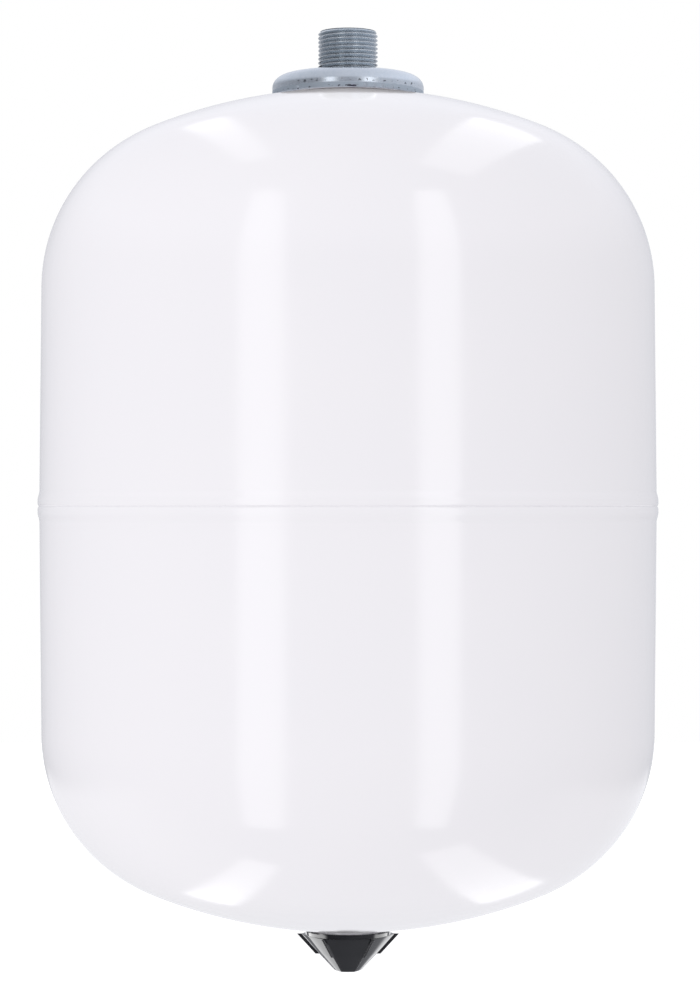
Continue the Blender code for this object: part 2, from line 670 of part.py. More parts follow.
def make_core_pin(brass, rubber):
    """Pin with a collar that the spring pushes on and a cup that carries the rubber pad."""
    pad_bottom = BARREL_TOP + GAP
    pad_top = pad_bottom + PAD_THICKNESS
    cup_bottom = pad_top + GAP
    cup_top = cup_bottom + CUP_THICKNESS
    pin = [
        (0.0, PIN_TIP_Z),
        (PIN_RADIUS, PIN_TIP_Z),
        (PIN_RADIUS, PIN_COLLAR_BOTTOM),
        (PIN_COLLAR_RADIUS, PIN_COLLAR_BOTTOM),
        (PIN_COLLAR_RADIUS, PIN_COLLAR_TOP),
        (PIN_RADIUS, PIN_COLLAR_TOP),
        (PIN_RADIUS, cup_bottom),
        (PAD_OUTER, cup_bottom),
        (PAD_OUTER, cup_top),
        (0.0, cup_top),
    ]
    turned("core_pin", pin, brass, VALVE_SEGMENTS, origin_z=PIN_TIP_Z)
    pad = ring_outline(PAD_INNER, PAD_OUTER, pad_bottom, pad_top)
    turned("core_pad", pad, rubber, VALVE_SEGMENTS, origin_z=pad_bottom)


def make_core_spring(steel):
    """Coil between the pin's collar and the shoulder in the barrel."""
    bottom = PIN_COLLAR_TOP + GAP + SPRING_WIRE_RADIUS
    top = BARREL_SEAT_Z - GAP - SPRING_WIRE_RADIUS
    steps = SPRING_TURNS * SPRING_STEPS_PER_TURN
    bm = bmesh.new()
    rings = []
    for step in range(steps + 1):
        angle = math.tau * step / SPRING_STEPS_PER_TURN
        height = bottom + (top - bottom) * step / steps
        ring = []
        for side in range(SPRING_WIRE_SIDES):
            turn = math.tau * side / SPRING_WIRE_SIDES
            radius = SPRING_RADIUS + SPRING_WIRE_RADIUS * math.cos(turn)
            place = (radius * math.cos(angle), radius * math.sin(angle),
                     height + SPRING_WIRE_RADIUS * math.sin(turn))
            ring.append(bm.verts.new(place))
        rings.append(ring)
    for first, second in zip(rings, rings[1:]):
        for side in range(SPRING_WIRE_SIDES):
            after = (side + 1) % SPRING_WIRE_SIDES
            bm.faces.new((first[side], first[after], second[after], second[side]))
    bm.faces.new(rings[0])
    bm.faces.new(rings[-1])
    add_object("core_spring", bm, steel)


def make_dust_cap(plastic, rubber):
    floor_top = DUST_CAP_BOTTOM + DUST_CAP_FLOOR
    cap = [
        (0.0, DUST_CAP_BOTTOM),
        (DUST_CAP_RADIUS - DUST_CAP_EDGE, DUST_CAP_BOTTOM),
        (DUST_CAP_RADIUS, DUST_CAP_BOTTOM + DUST_CAP_EDGE),
        (DUST_CAP_RADIUS, DUST_CAP_MOUTH),
        (DUST_CAP_BORE_RADIUS, DUST_CAP_MOUTH),
        (DUST_CAP_BORE_RADIUS, floor_top),
        (0.0, floor_top),
    ]
    turned("dust_cap", cap, plastic, VALVE_SEGMENTS, origin_z=DUST_CAP_BOTTOM)
    seal_bottom = floor_top + GAP
    seal_top = STEM_END_Z - GAP
    seal = [(0.0, seal_bottom), (DUST_SEAL_RADIUS, seal_bottom), (DUST_SEAL_RADIUS, seal_top),
            (0.0, seal_top)]
    turned("dust_cap_seal", seal, rubber, VALVE_SEGMENTS, origin_z=seal_bottom)


def main():
    clear_scene()
    white = make_material("white_powder_coat", (0.86, 0.86, 0.88), 0.25)
    zinc = make_material("zinc_plate", (0.55, 0.60, 0.66), 0.32, 1.0)
    steel = make_material("plain_steel", (0.45, 0.45, 0.46), 0.45, 1.0)
    rubber = make_material("black_rubber", (0.03, 0.03, 0.03), 0.75)
    liner_plastic = make_material("natural_plastic", (0.78, 0.79, 0.76), 0.5)
    cap_plastic = make_material("black_gloss_plastic", (0.02, 0.02, 0.024), 0.2)
    dust_plastic = make_material("dust_cap_plastic", (0.03, 0.03, 0.03), 0.45)
    brass = make_material("brass", (0.72, 0.53, 0.24), 0.35, 1.0)
    seal_plastic = make_material("seal_plastic", (0.75, 0.12, 0.08), 0.5)
    make_tank(white, steel)
    make_neck_ring(white)
    make_clamp_flange(zinc)
    make_connection_nipple(zinc)
    make_liner_and_grid(liner_plastic)
    make_bladder(rubber)
    make_valve_collar(white)
    make_protective_cap(cap_plastic)
    make_valve_stem(brass)
    make_valve_clamp(rubber, steel, brass)
    make_core_plug(brass)
    make_core_barrel(brass)
    make_core_seal(seal_plastic)
    make_core_pin(brass, rubber)
    make_core_spring(steel)
    make_dust_cap(dust_plastic, rubber)


main()
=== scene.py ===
"""Looks of the expansion vessel: a fine mesh and a procedural material for each piece of the frame,
then the floor, the light and the camera. Lengths are in metres, in the frame's own coordinates.
"""
import json
import math

import bmesh
import bpy
import numpy as np
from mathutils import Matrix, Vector


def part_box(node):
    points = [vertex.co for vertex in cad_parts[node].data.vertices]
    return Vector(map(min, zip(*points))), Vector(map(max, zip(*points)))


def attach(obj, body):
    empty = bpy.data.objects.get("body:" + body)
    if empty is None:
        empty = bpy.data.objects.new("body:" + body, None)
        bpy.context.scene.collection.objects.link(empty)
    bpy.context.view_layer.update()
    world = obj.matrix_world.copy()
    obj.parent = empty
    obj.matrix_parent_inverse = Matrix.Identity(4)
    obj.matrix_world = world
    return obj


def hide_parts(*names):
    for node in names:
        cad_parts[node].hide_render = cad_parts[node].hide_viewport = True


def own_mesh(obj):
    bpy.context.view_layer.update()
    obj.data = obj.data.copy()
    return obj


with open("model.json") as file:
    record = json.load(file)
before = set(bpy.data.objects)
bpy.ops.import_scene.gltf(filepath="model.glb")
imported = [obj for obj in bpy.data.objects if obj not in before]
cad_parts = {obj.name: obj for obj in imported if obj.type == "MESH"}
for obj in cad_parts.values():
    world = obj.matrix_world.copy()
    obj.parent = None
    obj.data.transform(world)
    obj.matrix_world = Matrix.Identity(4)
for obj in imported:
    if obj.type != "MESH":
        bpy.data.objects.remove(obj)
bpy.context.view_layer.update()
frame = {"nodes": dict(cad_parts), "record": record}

MM = 0.001
ROUND_STEPS = 5
TANK_SEGMENTS = 192
FITTING_SEGMENTS = 144
FLANGE_SEGMENTS = 720
SMALL_SEGMENTS = 96
SOFT_EDGE_DEGREES = 38.0
# Gap in the CAD between pieces that are welded, crimped, pressed or screwed together.
GAP = 0.3 * MM

# Tank, which follows the CAD's torispherical ends.
KNUCKLE_RADIUS = 75.0 * MM
CROWN_RADIUS = 230.0 * MM
KNUCKLE_TANK_RADIUS = 134.65 * MM
SHELL_WALL = 1.5 * MM
RIM_FLARE = 0.8 * MM
BEAD_FLAT = 2.6 * MM
BEAD_END = 7.0 * MM
GROOVE_DEPTH = 0.55 * MM
GROOVE_HALF_WIDTH = 1.2 * MM

PIPE_THREAD_PITCH = 25.4 / 14.0 * MM
PIPE_THREAD_CREST = 13.22 * MM
PIPE_THREAD_DEPTH = 1.16 * MM
PIPE_THREAD_WEAR = 0.10 * MM
PIPE_THREAD_RUN_OUT = 1.4 * PIPE_THREAD_PITCH
VALVE_THREAD_PITCH = 25.4 / 32.0 * MM
VALVE_THREAD_DEPTH = 0.45 * MM
CORE_THREAD_PITCH = 0.705 * MM
CORE_THREAD_DEPTH = 0.25 * MM


# ---------------------------------------------------------------- measures taken from the frame

def node_body(node):
    groups = frame["record"]["behaviour"]["bodies"]
    return next(body for body, members in groups.items() if node in members)


def steps_of(node):
    """Distinct radii and distinct heights of a node's corners, each from low to high."""
    points = np.array([vert.co for vert in frame["nodes"][node].data.vertices])
    radii = np.unique(np.round(np.hypot(points[:, 0], points[:, 1]), 6))
    heights = np.unique(np.round(points[:, 2], 6))
    return [float(value) for value in radii], [float(value) for value in heights]


# ---------------------------------------------------------------- mesh tools

def arc(centre, radius, start_degrees, end_degrees, steps):
    angles = np.radians(np.linspace(start_degrees, end_degrees, steps + 1))
    return [(centre[0] + radius * math.cos(a), centre[1] + radius * math.sin(a)) for a in angles]


def rounded(corners):
    """Outline of (r, z) points from corners of (r, z) or (r, z, fillet radius).

    Each fillet has a short straight lead on both sides, which keeps the flat next to it flat.
    """
    outline = []
    for index, corner in enumerate(corners):
        here = Vector(corner[:2])
        if len(corner) == 2:
            outline.append((here.x, here.y))
            continue
        to_last = Vector(corners[index - 1][:2]) - here
        to_next = Vector(corners[(index + 1) % len(corners)][:2]) - here
        half = to_last.angle(to_next) / 2.0
        reach = min(corner[2] / math.tan(half), 0.45 * to_last.length, 0.45 * to_next.length)
        radius = reach * math.tan(half)
        first, last = to_last.normalized(), to_next.normalized()
        centre = here + (first + last).normalized() * (radius / math.sin(half))
        start = here + first * reach - centre
        turn = math.pi - 2.0 * half
        if start.x * last.y - start.y * last.x < 0.0:
            turn = -turn
        outline.append(tuple(centre + start + first * reach * 0.1))
        for step in range(ROUND_STEPS + 1):
            angle = turn * step / ROUND_STEPS
            outline.append((centre.x + start.x * math.cos(angle) - start.y * math.sin(angle),
                            centre.y + start.x * math.sin(angle) + start.y * math.cos(angle)))
        outline.append(tuple(here + last * reach * 1.1))
    return outline


def ring_outline(inner, outer, low, high, edge):
    """Outline of a flat ring whose four edges are rounded alike."""
    return rounded([(inner, low, edge), (outer, low, edge), (outer, high, edge),
                    (inner, high, edge)])


def disc_outline(low, high, edge):
    """Outline of a disc that fills a box from low to high, with rounded edges."""
    return rounded([(0.0, low.z), (high.x, low.z, edge), (high.x, high.z, edge), (0.0, high.z)])


def levels_between(start, end, spacing):
    """Heights from start to end, evenly spread and at most spacing apart, without the ends."""
    count = max(1, math.ceil(abs(end - start) / spacing))
    return [start + (end - start) * index / count for index in range(1, count)]


def new_object(name, bm, sharp_degrees=SOFT_EDGE_DEGREES):
    bmesh.ops.remove_doubles(bm, verts=bm.verts[:], dist=1e-8)
    bmesh.ops.dissolve_degenerate(bm, edges=bm.edges[:], dist=1e-8)
    bmesh.ops.recalc_face_normals(bm, faces=bm.faces[:])
    mesh = bpy.data.meshes.new(name)
    bm.to_mesh(mesh)
    bm.free()
    mesh.shade_smooth()
    mesh.set_sharp_from_angle(angle=math.radians(sharp_degrees))
    item = bpy.data.objects.new(name, mesh)
    bpy.context.scene.collection.objects.link(item)
    return item


def ring_points(angles, radii, heights):
    """Points at these angles round the axis. One radius or height may serve them all."""
    return np.column_stack(np.broadcast_arrays(radii * np.cos(angles), radii * np.sin(angles),
                                               heights))


def skin(bm, rings, loop_rows=True):
    """Faces between rings of points that all have the same count; each ring is closed."""
    grid = [[bm.verts.new(point) for point in ring] for ring in rings]
    rows = len(grid) if loop_rows else len(grid) - 1
    for index in range(rows):
        lower, upper = grid[index], grid[(index + 1) % len(grid)]
        for column in range(len(lower)):
            after = (column + 1) % len(lower)
            bm.faces.new((lower[column], lower[after], upper[after], upper[column]))
    return grid


def lathe(name, outline, segments=FITTING_SEGMENTS, shape=None, sharp_degrees=SOFT_EDGE_DEGREES):
    """Turn a closed outline of (r, z) points. shape(angles, r, z) may move the points of a ring."""
    angles = math.tau * np.arange(segments) / segments
    rings = []
    for radius, height in outline:
        radii, heights = np.full(segments, radius), np.full(segments, height)
        if shape is not None:
            radii, heights = shape(angles, radii, heights)
        rings.append(ring_points(angles, radii, heights))
    bm = bmesh.new()
    skin(bm, rings)
    return new_object(name, bm, sharp_degrees)


def carve(item, cutter):
    """Cut one mesh out of another for good."""
    modifier = item.modifiers.new("carve", "BOOLEAN")
    modifier.solver = "EXACT"
    modifier.object = cutter
    graph = bpy.context.evaluated_depsgraph_get()
    mesh = bpy.data.meshes.new_from_object(item.evaluated_get(graph), depsgraph=graph)
    item.modifiers.clear()
    item.data = mesh
    mesh.set_sharp_from_angle(angle=math.radians(SOFT_EDGE_DEGREES))
    bpy.data.objects.remove(cutter, do_unlink=True)


def thread_wave(angles, heights, pitch):
    """0 at the root and 1 at the crest of a right-hand thread with rounded crests and roots."""
    phase = math.tau * (heights / pitch) - angles
    sharpness = 0.95
    return 0.5 + 0.5 * np.arcsin(sharpness * np.sin(phase)) / math.asin(sharpness)


def smooth_step(values, low, high):
    share = np.clip((values - low) / (high - low), 0.0, 1.0)
    return share * share * (3.0 - 2.0 * share)


def place(item, node, material, body=None):
    """Let a finished piece stand for a node, on the node's body and with its own material."""
    item.data.materials.clear()
    item.data.materials.append(material)
    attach(item, body or node_body(node))
    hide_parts(node)
    return item


def turned(node, kind, outline, material, segments=FITTING_SEGMENTS, shape=None,
           sharp_degrees=SOFT_EDGE_DEGREES):
    """Turn an outline into the piece that stands for a node."""
    place(lathe(f"{node}_{kind}", outline, segments, shape, sharp_degrees), node, material)


# ---------------------------------------------------------------- material tools

class Nodes:
    """Adds nodes to a tree, and links or sets their inputs."""

    def __init__(self, tree):
        self.tree = tree

    def add(self, kind, settings=None, **inputs):
        """An input is called by its name, with _ for a space, or by its number, as in i0."""
        node = self.tree.nodes.new(kind)
        for key, value in (settings or {}).items():
            setattr(node, key, value)
        for key, value in inputs.items():
            numbered = key[0] == "i" and key[1:].isdigit()
            self.feed(node.inputs[int(key[1:]) if numbered else key.replace("_", " ")], value)
        return node

    def feed(self, socket, value):
        if isinstance(value, bpy.types.NodeSocket):
            self.tree.links.new(value, socket)
        else:
            socket.default_value = (*value, 1.0) if socket.type == "RGBA" else value

    def math(self, operation, first, second=0.0):
        node = self.add("ShaderNodeMath", {"operation": operation}, i0=first, i1=second)
        return node.outputs["Value"]


class Shader(Nodes):
    """A material under construction."""

    def __init__(self, name):
        self.material = bpy.data.materials.new(name)
        self.material.use_nodes = True
        super().__init__(self.material.node_tree)
        self.surface = self.tree.nodes["Principled BSDF"]
        self.place = self.add("ShaderNodeTexCoord").outputs["Object"]

    def noise(self, cell, detail=4.0, roughness=0.5, stretch=(1.0, 1.0, 1.0)):
        """Noise from 0 to 1 whose largest cells are about cell across."""
        mapping = self.add("ShaderNodeMapping", Vector=self.place, Scale=stretch)
        node = self.add("ShaderNodeTexNoise", Vector=mapping.outputs["Vector"], Scale=1.0 / cell,
                        Detail=detail, Roughness=roughness)
        return node.outputs["Fac"]

    def span(self, value, low, high, out_low=0.0, out_high=1.0):
        """Goes smoothly from out_low, where value is low, to out_high, where value is high."""
        node = self.add("ShaderNodeMapRange", {"interpolation_type": "SMOOTHSTEP"}, Value=value)
        for key, number in zip(("From Min", "From Max", "To Min", "To Max"),
                               (low, high, out_low, out_high)):
            self.feed(node.inputs[key], number)
        return node.outputs["Result"]

    def mix(self, share, first, second):
        node = self.add("ShaderNodeMix", {"data_type": "RGBA"}, i0=share)
        self.feed(node.inputs[6], first)
        self.feed(node.inputs[7], second)
        return node.outputs[2]

    def bump(self, height, distance, strength=1.0, normal=None):
        node = self.add("ShaderNodeBump", Height=height, Distance=distance, Strength=strength)
        if normal is not None:
            self.feed(node.inputs["Normal"], normal)
        return node.outputs["Normal"]

    def radius(self):
        """Distance from the vessel's axis."""
        across = self.add("ShaderNodeVectorMath", {"operation": "MULTIPLY"}, i0=self.place,
                          i1=(1.0, 1.0, 0.0)).outputs["Vector"]
        return self.add("ShaderNodeVectorMath", {"operation": "LENGTH"}, i0=across).outputs["Value"]

    def finish(self, **inputs):
        """Set the inputs of the surface and give the material."""
        for key, value in inputs.items():
            self.feed(self.surface.inputs[key.replace("_", " ")], value)
        return self.material


def white_paint(name="white_powder_coat", dullness=0.0):
    """Glossy white powder coat with orange peel."""
    s = Shader(name)
    cloud = s.noise(60 * MM, detail=2.0)
    speck = s.noise(1.2 * MM, detail=2.0)
    tone = s.mix(cloud, (0.838, 0.828, 0.857), (0.852, 0.839, 0.862))
    tone = s.mix(s.span(speck, 0.62, 0.8, 0.0, 0.12), tone, (0.78, 0.78, 0.82))
    peel = s.noise(2.4 * MM, detail=1.5, roughness=0.4)
    fine = s.noise(0.7 * MM, detail=1.0)
    normal = s.bump(peel, 0.012 * MM, 0.7)
    normal = s.bump(fine, 0.003 * MM, 0.5, normal)
    return s.finish(Base_Color=tone, Normal=normal, IOR=1.5,
                    Roughness=s.span(cloud, 0.2, 0.8, 0.10 + dullness, 0.16 + dullness))


def zinc_plate():
    """Bluish zinc with streaks and stains, dark spots on the ridge, painted shade of the crimp gaps
    along the lower edge, and a dull side band darkened as painted shade.
    """
    s = Shader("zinc_plate")
    cloud = s.noise(9 * MM, detail=5.0, roughness=0.6)
    grain = s.noise(1.1 * MM, detail=4.0, stretch=(1.0, 1.0, 0.35))
    stain = s.noise(2.6 * MM, detail=6.0, roughness=0.7)
    tone = s.mix(cloud, (0.58, 0.64, 0.70), (0.66, 0.70, 0.76))
    tone = s.mix(s.span(grain, 0.3, 0.75, 0.0, 0.35), tone, (0.50, 0.57, 0.66))
    tone = s.mix(s.span(stain, 0.66, 0.76, 0.0, 0.6), tone, (0.28, 0.32, 0.38))

    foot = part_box("clamp_flange")[0].z
    height = s.add("ShaderNodeSeparateXYZ", Vector=s.place).outputs["Z"]
    height = s.math("SUBTRACT", height, foot)
    ragged = s.math("ADD", height, s.math("MULTIPLY", s.math("SUBTRACT", stain, 0.5), 1.2 * MM))
    # The side band below FLANGE_BAND_TOP is rougher, and its darker tone is painted shade.
    dull_shaded_band = s.span(ragged, FLANGE_BAND_TOP + 0.3 * MM, FLANGE_BAND_TOP - 0.3 * MM)
    tone = s.mix(s.math("MULTIPLY", dull_shaded_band, 0.85), tone, (0.45, 0.51, 0.57))

    # Dark spots along the ridge. Along the lower edge, the dark spots are painted shade of the gaps
    # under the crimped rim.
    dark_spots = s.span(s.noise(1.8 * MM, detail=1.0), 0.64, 0.68)
    from_ridge = s.math("ABSOLUTE", s.math("SUBTRACT", height, FLANGE_RIDGE))
    on_ridge = s.math("MULTIPLY", s.span(from_ridge, 0.7 * MM, 0.4 * MM), 0.7)
    on_edge = s.span(height, FLANGE_EDGE_TOP, FLANGE_EDGE_TOP - 0.3 * MM)
    spots_and_gap_shade = s.math("MULTIPLY", dark_spots, s.math("MAXIMUM", on_ridge, on_edge))
    tone = s.mix(spots_and_gap_shade, tone, (0.05, 0.05, 0.07))

    rough = s.mix(dull_shaded_band, s.mix(cloud, (0.2, 0.2, 0.2), (0.3, 0.3, 0.3)), (0.55, 0.55, 0.55))
    normal = s.bump(cloud, 0.06 * MM, 0.5)
    normal = s.bump(grain, 0.012 * MM, 0.6, normal)
    return s.finish(Base_Color=tone, Metallic=1.0, Roughness=rough, Normal=normal)


def thread_zinc():
    """Zinc whose crests are rubbed bright, with painted shade darkening the roots."""
    root = PIPE_THREAD_CREST - PIPE_THREAD_DEPTH
    s = Shader("zinc_thread")
    cloud = s.noise(5 * MM, detail=5.0, roughness=0.6)
    chatter = s.noise(0.8 * MM, detail=3.0, stretch=(1.0, 1.0, 0.5))
    height = s.span(s.radius(), root, PIPE_THREAD_CREST - 0.02 * MM)
    tone = s.mix(cloud, (0.50, 0.56, 0.61), (0.60, 0.65, 0.70))
    tone = s.mix(s.span(height, 0.6, 1.0, 0.0, 0.6), tone, (0.72, 0.76, 0.80))
    # Painted shade: the roots are darker.
    tone = s.mix(s.span(height, 0.35, 0.0, 0.0, 0.35), tone, (0.34, 0.37, 0.40))
    rough = s.span(chatter, 0.3, 0.7, 0.16, 0.34)
    normal = s.bump(chatter, 0.03 * MM, 0.8)
    return s.finish(Base_Color=tone, Metallic=1.0, Roughness=rough, Normal=normal)


def black_gloss_plastic():
    s = Shader("black_gloss_plastic")
    cloud = s.noise(7 * MM, detail=3.0)
    dust = s.noise(0.5 * MM, detail=3.0, roughness=0.7)
    tone = s.mix(cloud, (0.010, 0.011, 0.014), (0.018, 0.018, 0.022))
    tone = s.mix(s.span(dust, 0.68, 0.8, 0.0, 0.3), tone, (0.10, 0.10, 0.11))
    rough = s.span(cloud, 0.2, 0.8, 0.03, 0.07)
    normal = s.bump(cloud, 0.02 * MM, 0.3)
    return s.finish(Base_Color=tone, Roughness=rough, Normal=normal, IOR=1.52)


def plastic(name, dark, light, rough):
    s = Shader(name)
    cloud = s.noise(6 * MM, detail=4.0)
    fine = s.noise(1.0 * MM, detail=4.0, roughness=0.6)
    tone = s.mix(cloud, dark, light)
    normal = s.bump(fine, 0.02 * MM, 0.6)
    return s.finish(Base_Color=tone, Roughness=s.span(fine, 0.2, 0.8, rough - 0.06, rough + 0.06),
                    Normal=normal)


def rubber():
    s = Shader("black_rubber")
    cloud = s.noise(14 * MM, detail=4.0)
    fine = s.noise(0.6 * MM, detail=4.0, roughness=0.65)
    tone = s.mix(cloud, (0.016, 0.016, 0.017), (0.035, 0.035, 0.034))
    tone = s.mix(s.span(fine, 0.6, 0.8, 0.0, 0.4), tone, (0.07, 0.07, 0.068))
    normal = s.bump(fine, 0.04 * MM, 0.7)
    return s.finish(Base_Color=tone, Roughness=s.span(cloud, 0.2, 0.8, 0.62, 0.8), Normal=normal)


def metal(name, dark, light, rough):
    """Turned metal: fine rings across the axis, a little tarnish."""
    s = Shader(name)
    cloud = s.noise(3 * MM, detail=5.0, roughness=0.6)
    rings = s.noise(0.5 * MM, detail=3.0, stretch=(0.02, 0.02, 1.0))
    tone = s.mix(cloud, dark, light)
    normal = s.bump(rings, 0.008 * MM, 0.7)
    return s.finish(Base_Color=tone, Metallic=1.0, Normal=normal,
                    Roughness=s.span(cloud, 0.25, 0.75, rough - 0.07, rough + 0.07))


# ---------------------------------------------------------------- tank

def rim_radius(distance, seam_radius):
    """Outer radius near the seam: a soft bead that dips into the painted weld groove."""
    fall = smooth_step(distance, BEAD_FLAT, BEAD_END)
    dip = max(0.0, 1.0 - distance / GROOVE_HALF_WIDTH) ** 2
    return seam_radius + RIM_FLARE * (1.0 - fall) - GROOVE_DEPTH * dip


def shell_outline(seam_z, seam_radius, hole_radius, hole_z, direction):
    """Outline of one tank half, from the seam to the edge of its hole and back inside.

    direction is 1 for the upper half and -1 for the lower half.
    """
    crown_rise = CROWN_RADIUS - math.sqrt(CROWN_RADIUS ** 2 - hole_radius ** 2)
    height = abs(hole_z - seam_z) + crown_rise
    knuckle_r = KNUCKLE_TANK_RADIUS - KNUCKLE_RADIUS
    reach = CROWN_RADIUS - KNUCKLE_RADIUS
    knuckle_z = height - CROWN_RADIUS + math.sqrt(reach ** 2 - knuckle_r ** 2)
    tangent = math.degrees(math.acos(knuckle_r / reach))
    hole_angle = math.degrees(math.acos(hole_radius / CROWN_RADIUS))

    bead = np.linspace(0.0, BEAD_END, 26)
    outer = [(rim_radius(distance, seam_radius), distance) for distance in bead]
    for level in levels_between(BEAD_END, knuckle_z, 8.0 * MM):
        share = (level - BEAD_END) / (knuckle_z - BEAD_END)
        outer.append((seam_radius + (KNUCKLE_TANK_RADIUS - seam_radius) * share, level))
    outer += arc((knuckle_r, knuckle_z), KNUCKLE_RADIUS, 0.0, tangent, 40)
    crown_centre = (0.0, height - CROWN_RADIUS)
    outer += arc(crown_centre, CROWN_RADIUS, tangent, hole_angle, 24)[1:]
    inner = arc(crown_centre, CROWN_RADIUS - SHELL_WALL, hole_angle, tangent, 8)
    inner += arc((knuckle_r, knuckle_z), KNUCKLE_RADIUS - SHELL_WALL, tangent, 0.0, 12)[1:]
    inner += [(seam_radius - SHELL_WALL, BEAD_END), (seam_radius - SHELL_WALL, 0.0)]
    return [(radius, seam_z + direction * distance) for radius, distance in outer + inner]


def make_tank(paint, steel):
    upper_low, upper_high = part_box("upper_shell")
    lower_low, lower_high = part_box("lower_shell")
    seam_z = (upper_low.z + lower_high.z) / 2.0
    seam_radius = upper_high.x - RIM_FLARE
    for node, hole_z, direction in (("upper_shell", upper_high.z, 1.0),
                                    ("lower_shell", lower_low.z, -1.0)):
        hole_radius = steps_of(node)[0][0]
        outline = shell_outline(seam_z, seam_radius, hole_radius, hole_z, direction)
        turned(node, "skin", outline, paint, TANK_SEGMENTS)

    radii, heights = steps_of("seam_backing_ring")
    ring = ring_outline(*radii, *heights, 0.4 * MM)
    place(lathe("seam_backing_strip", ring, TANK_SEGMENTS), "seam_backing_ring", steel)
    return seam_z


# ---------------------------------------------------------------- top fitting

FLANGE_WALL = 2.5 * MM
FLANGE_FLAT_RADIUS = 26.0 * MM
FLANGE_SHOULDER_DROP = 5.7 * MM
FLANGE_HOLE_CHAMFER = 1.2 * MM
NECK_RING_EDGE = 1.3 * MM
# Heights above the flange's lower edge: the dull band with painted shade, the ridge over it with dark
# spots, and the edge strip with painted shade of the crimp gaps.
FLANGE_BAND_TOP = 1.9 * MM
FLANGE_RIDGE = 3.0 * MM
FLANGE_EDGE_TOP = 0.9 * MM
CRIMP_LIP_THICKNESS = 1.2 * MM
CRIMP_LIP_RADIUS = 29.8 * MM
CRIMP_LIFT = 0.8 * MM
CRIMP_PULL = 0.5 * MM
CRIMP_REACH = 1.6 * MM
# Where the crimping tool lifted the rim: degrees from the -Y side towards +X, and half width.
CRIMP_LIFTS = ((-41.0, 1.6), (13.0, 1.9), (20.0, 1.4), (27.0, 1.6), (36.0, 1.5), (74.0, 1.8),
               (118.0, 1.5), (131.0, 1.4), (171.0, 1.9), (-96.0, 1.6), (-139.0, 1.7))


def make_neck_ring(paint):
    radii, heights = steps_of("neck_ring")
    inner, foot, outer = radii[0], radii[-2], radii[-1]
    low, top = heights[0], heights[-1]
    outline = rounded([(inner, top, 0.4 * MM), (inner, heights[2]), (foot, low, 0.3 * MM),
                       (foot, top - 2.0 * NECK_RING_EDGE, 0.8 * MM),
                       (outer, top - NECK_RING_EDGE, 0.5 * MM), (outer, top, 0.5 * MM)])
    turned("neck_ring", "body", outline, paint)


def crimp_lift(angles):
    """Share from 0 to 1 by which the turned-in rim stands up, round the flange."""
    azimuth = np.degrees(angles) + 90.0
    lift = np.zeros_like(angles)
    for centre, half_width in CRIMP_LIFTS:
        away = (azimuth - centre + 180.0) % 360.0 - 180.0
        lift = np.maximum(lift, 1.0 - smooth_step(np.abs(away), 0.5 * half_width, half_width))
    return lift


def make_clamp_flange(zinc):
    low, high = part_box("clamp_flange")
    radius, top, bottom = high.x, high.z, low.z
    inner_wall = radius - FLANGE_WALL
    under = top - FLANGE_WALL
    hole = steps_of("clamp_flange")[0][0]
    lip = CRIMP_LIP_RADIUS
    width = radius - FLANGE_FLAT_RADIUS
    shoulder = [(FLANGE_FLAT_RADIUS + width * math.cos(a),
                 top - FLANGE_SHOULDER_DROP * (1.0 - math.sin(a)))
                for a in np.radians(np.linspace(90.0, 0.0, 28))]
    flat = [(r, top) for r in np.linspace(hole + 1.5 * MM, FLANGE_FLAT_RADIUS, 8)[:-1]]
    chamfer = FLANGE_HOLE_CHAMFER
    hole_edge = rounded([(hole, under, 0.2 * MM), (hole, top - chamfer, 0.5 * MM),
                         (hole + chamfer, top, 0.3 * MM), (hole + 3.0 * MM, top)])[:-1]
    rim_levels = levels_between(top - FLANGE_SHOULDER_DROP, bottom + 0.8 * MM, 0.4 * MM)
    side = [(radius, level) for level in rim_levels]
    lower = rounded([(radius, bottom + 1.5 * MM), (radius, bottom, 0.6 * MM),
                     (lip, bottom, 0.3 * MM), (lip, bottom + CRIMP_LIP_THICKNESS, 0.3 * MM),
                     (inner_wall, bottom + 2.3 * MM), (inner_wall, under, 0.4 * MM),
                     (hole + 1.0 * MM, under)])

    def shape(angles, radii, heights):
        share = crimp_lift(angles)
        near_edge = 1.0 - smooth_step(heights, bottom, bottom + CRIMP_REACH)
        wave = 0.06 * MM * np.sin(5.0 * angles + 1.0) + 0.05 * MM * np.sin(11.0 * angles)
        outside = smooth_step(radii, inner_wall, radius)
        return (radii - CRIMP_PULL * share * near_edge * outside,
                heights + (CRIMP_LIFT * share + wave) * near_edge * outside)

    outline = hole_edge + flat[1:] + shoulder + side + lower[1:]
    turned("clamp_flange", "body", outline, zinc, FLANGE_SEGMENTS, shape)


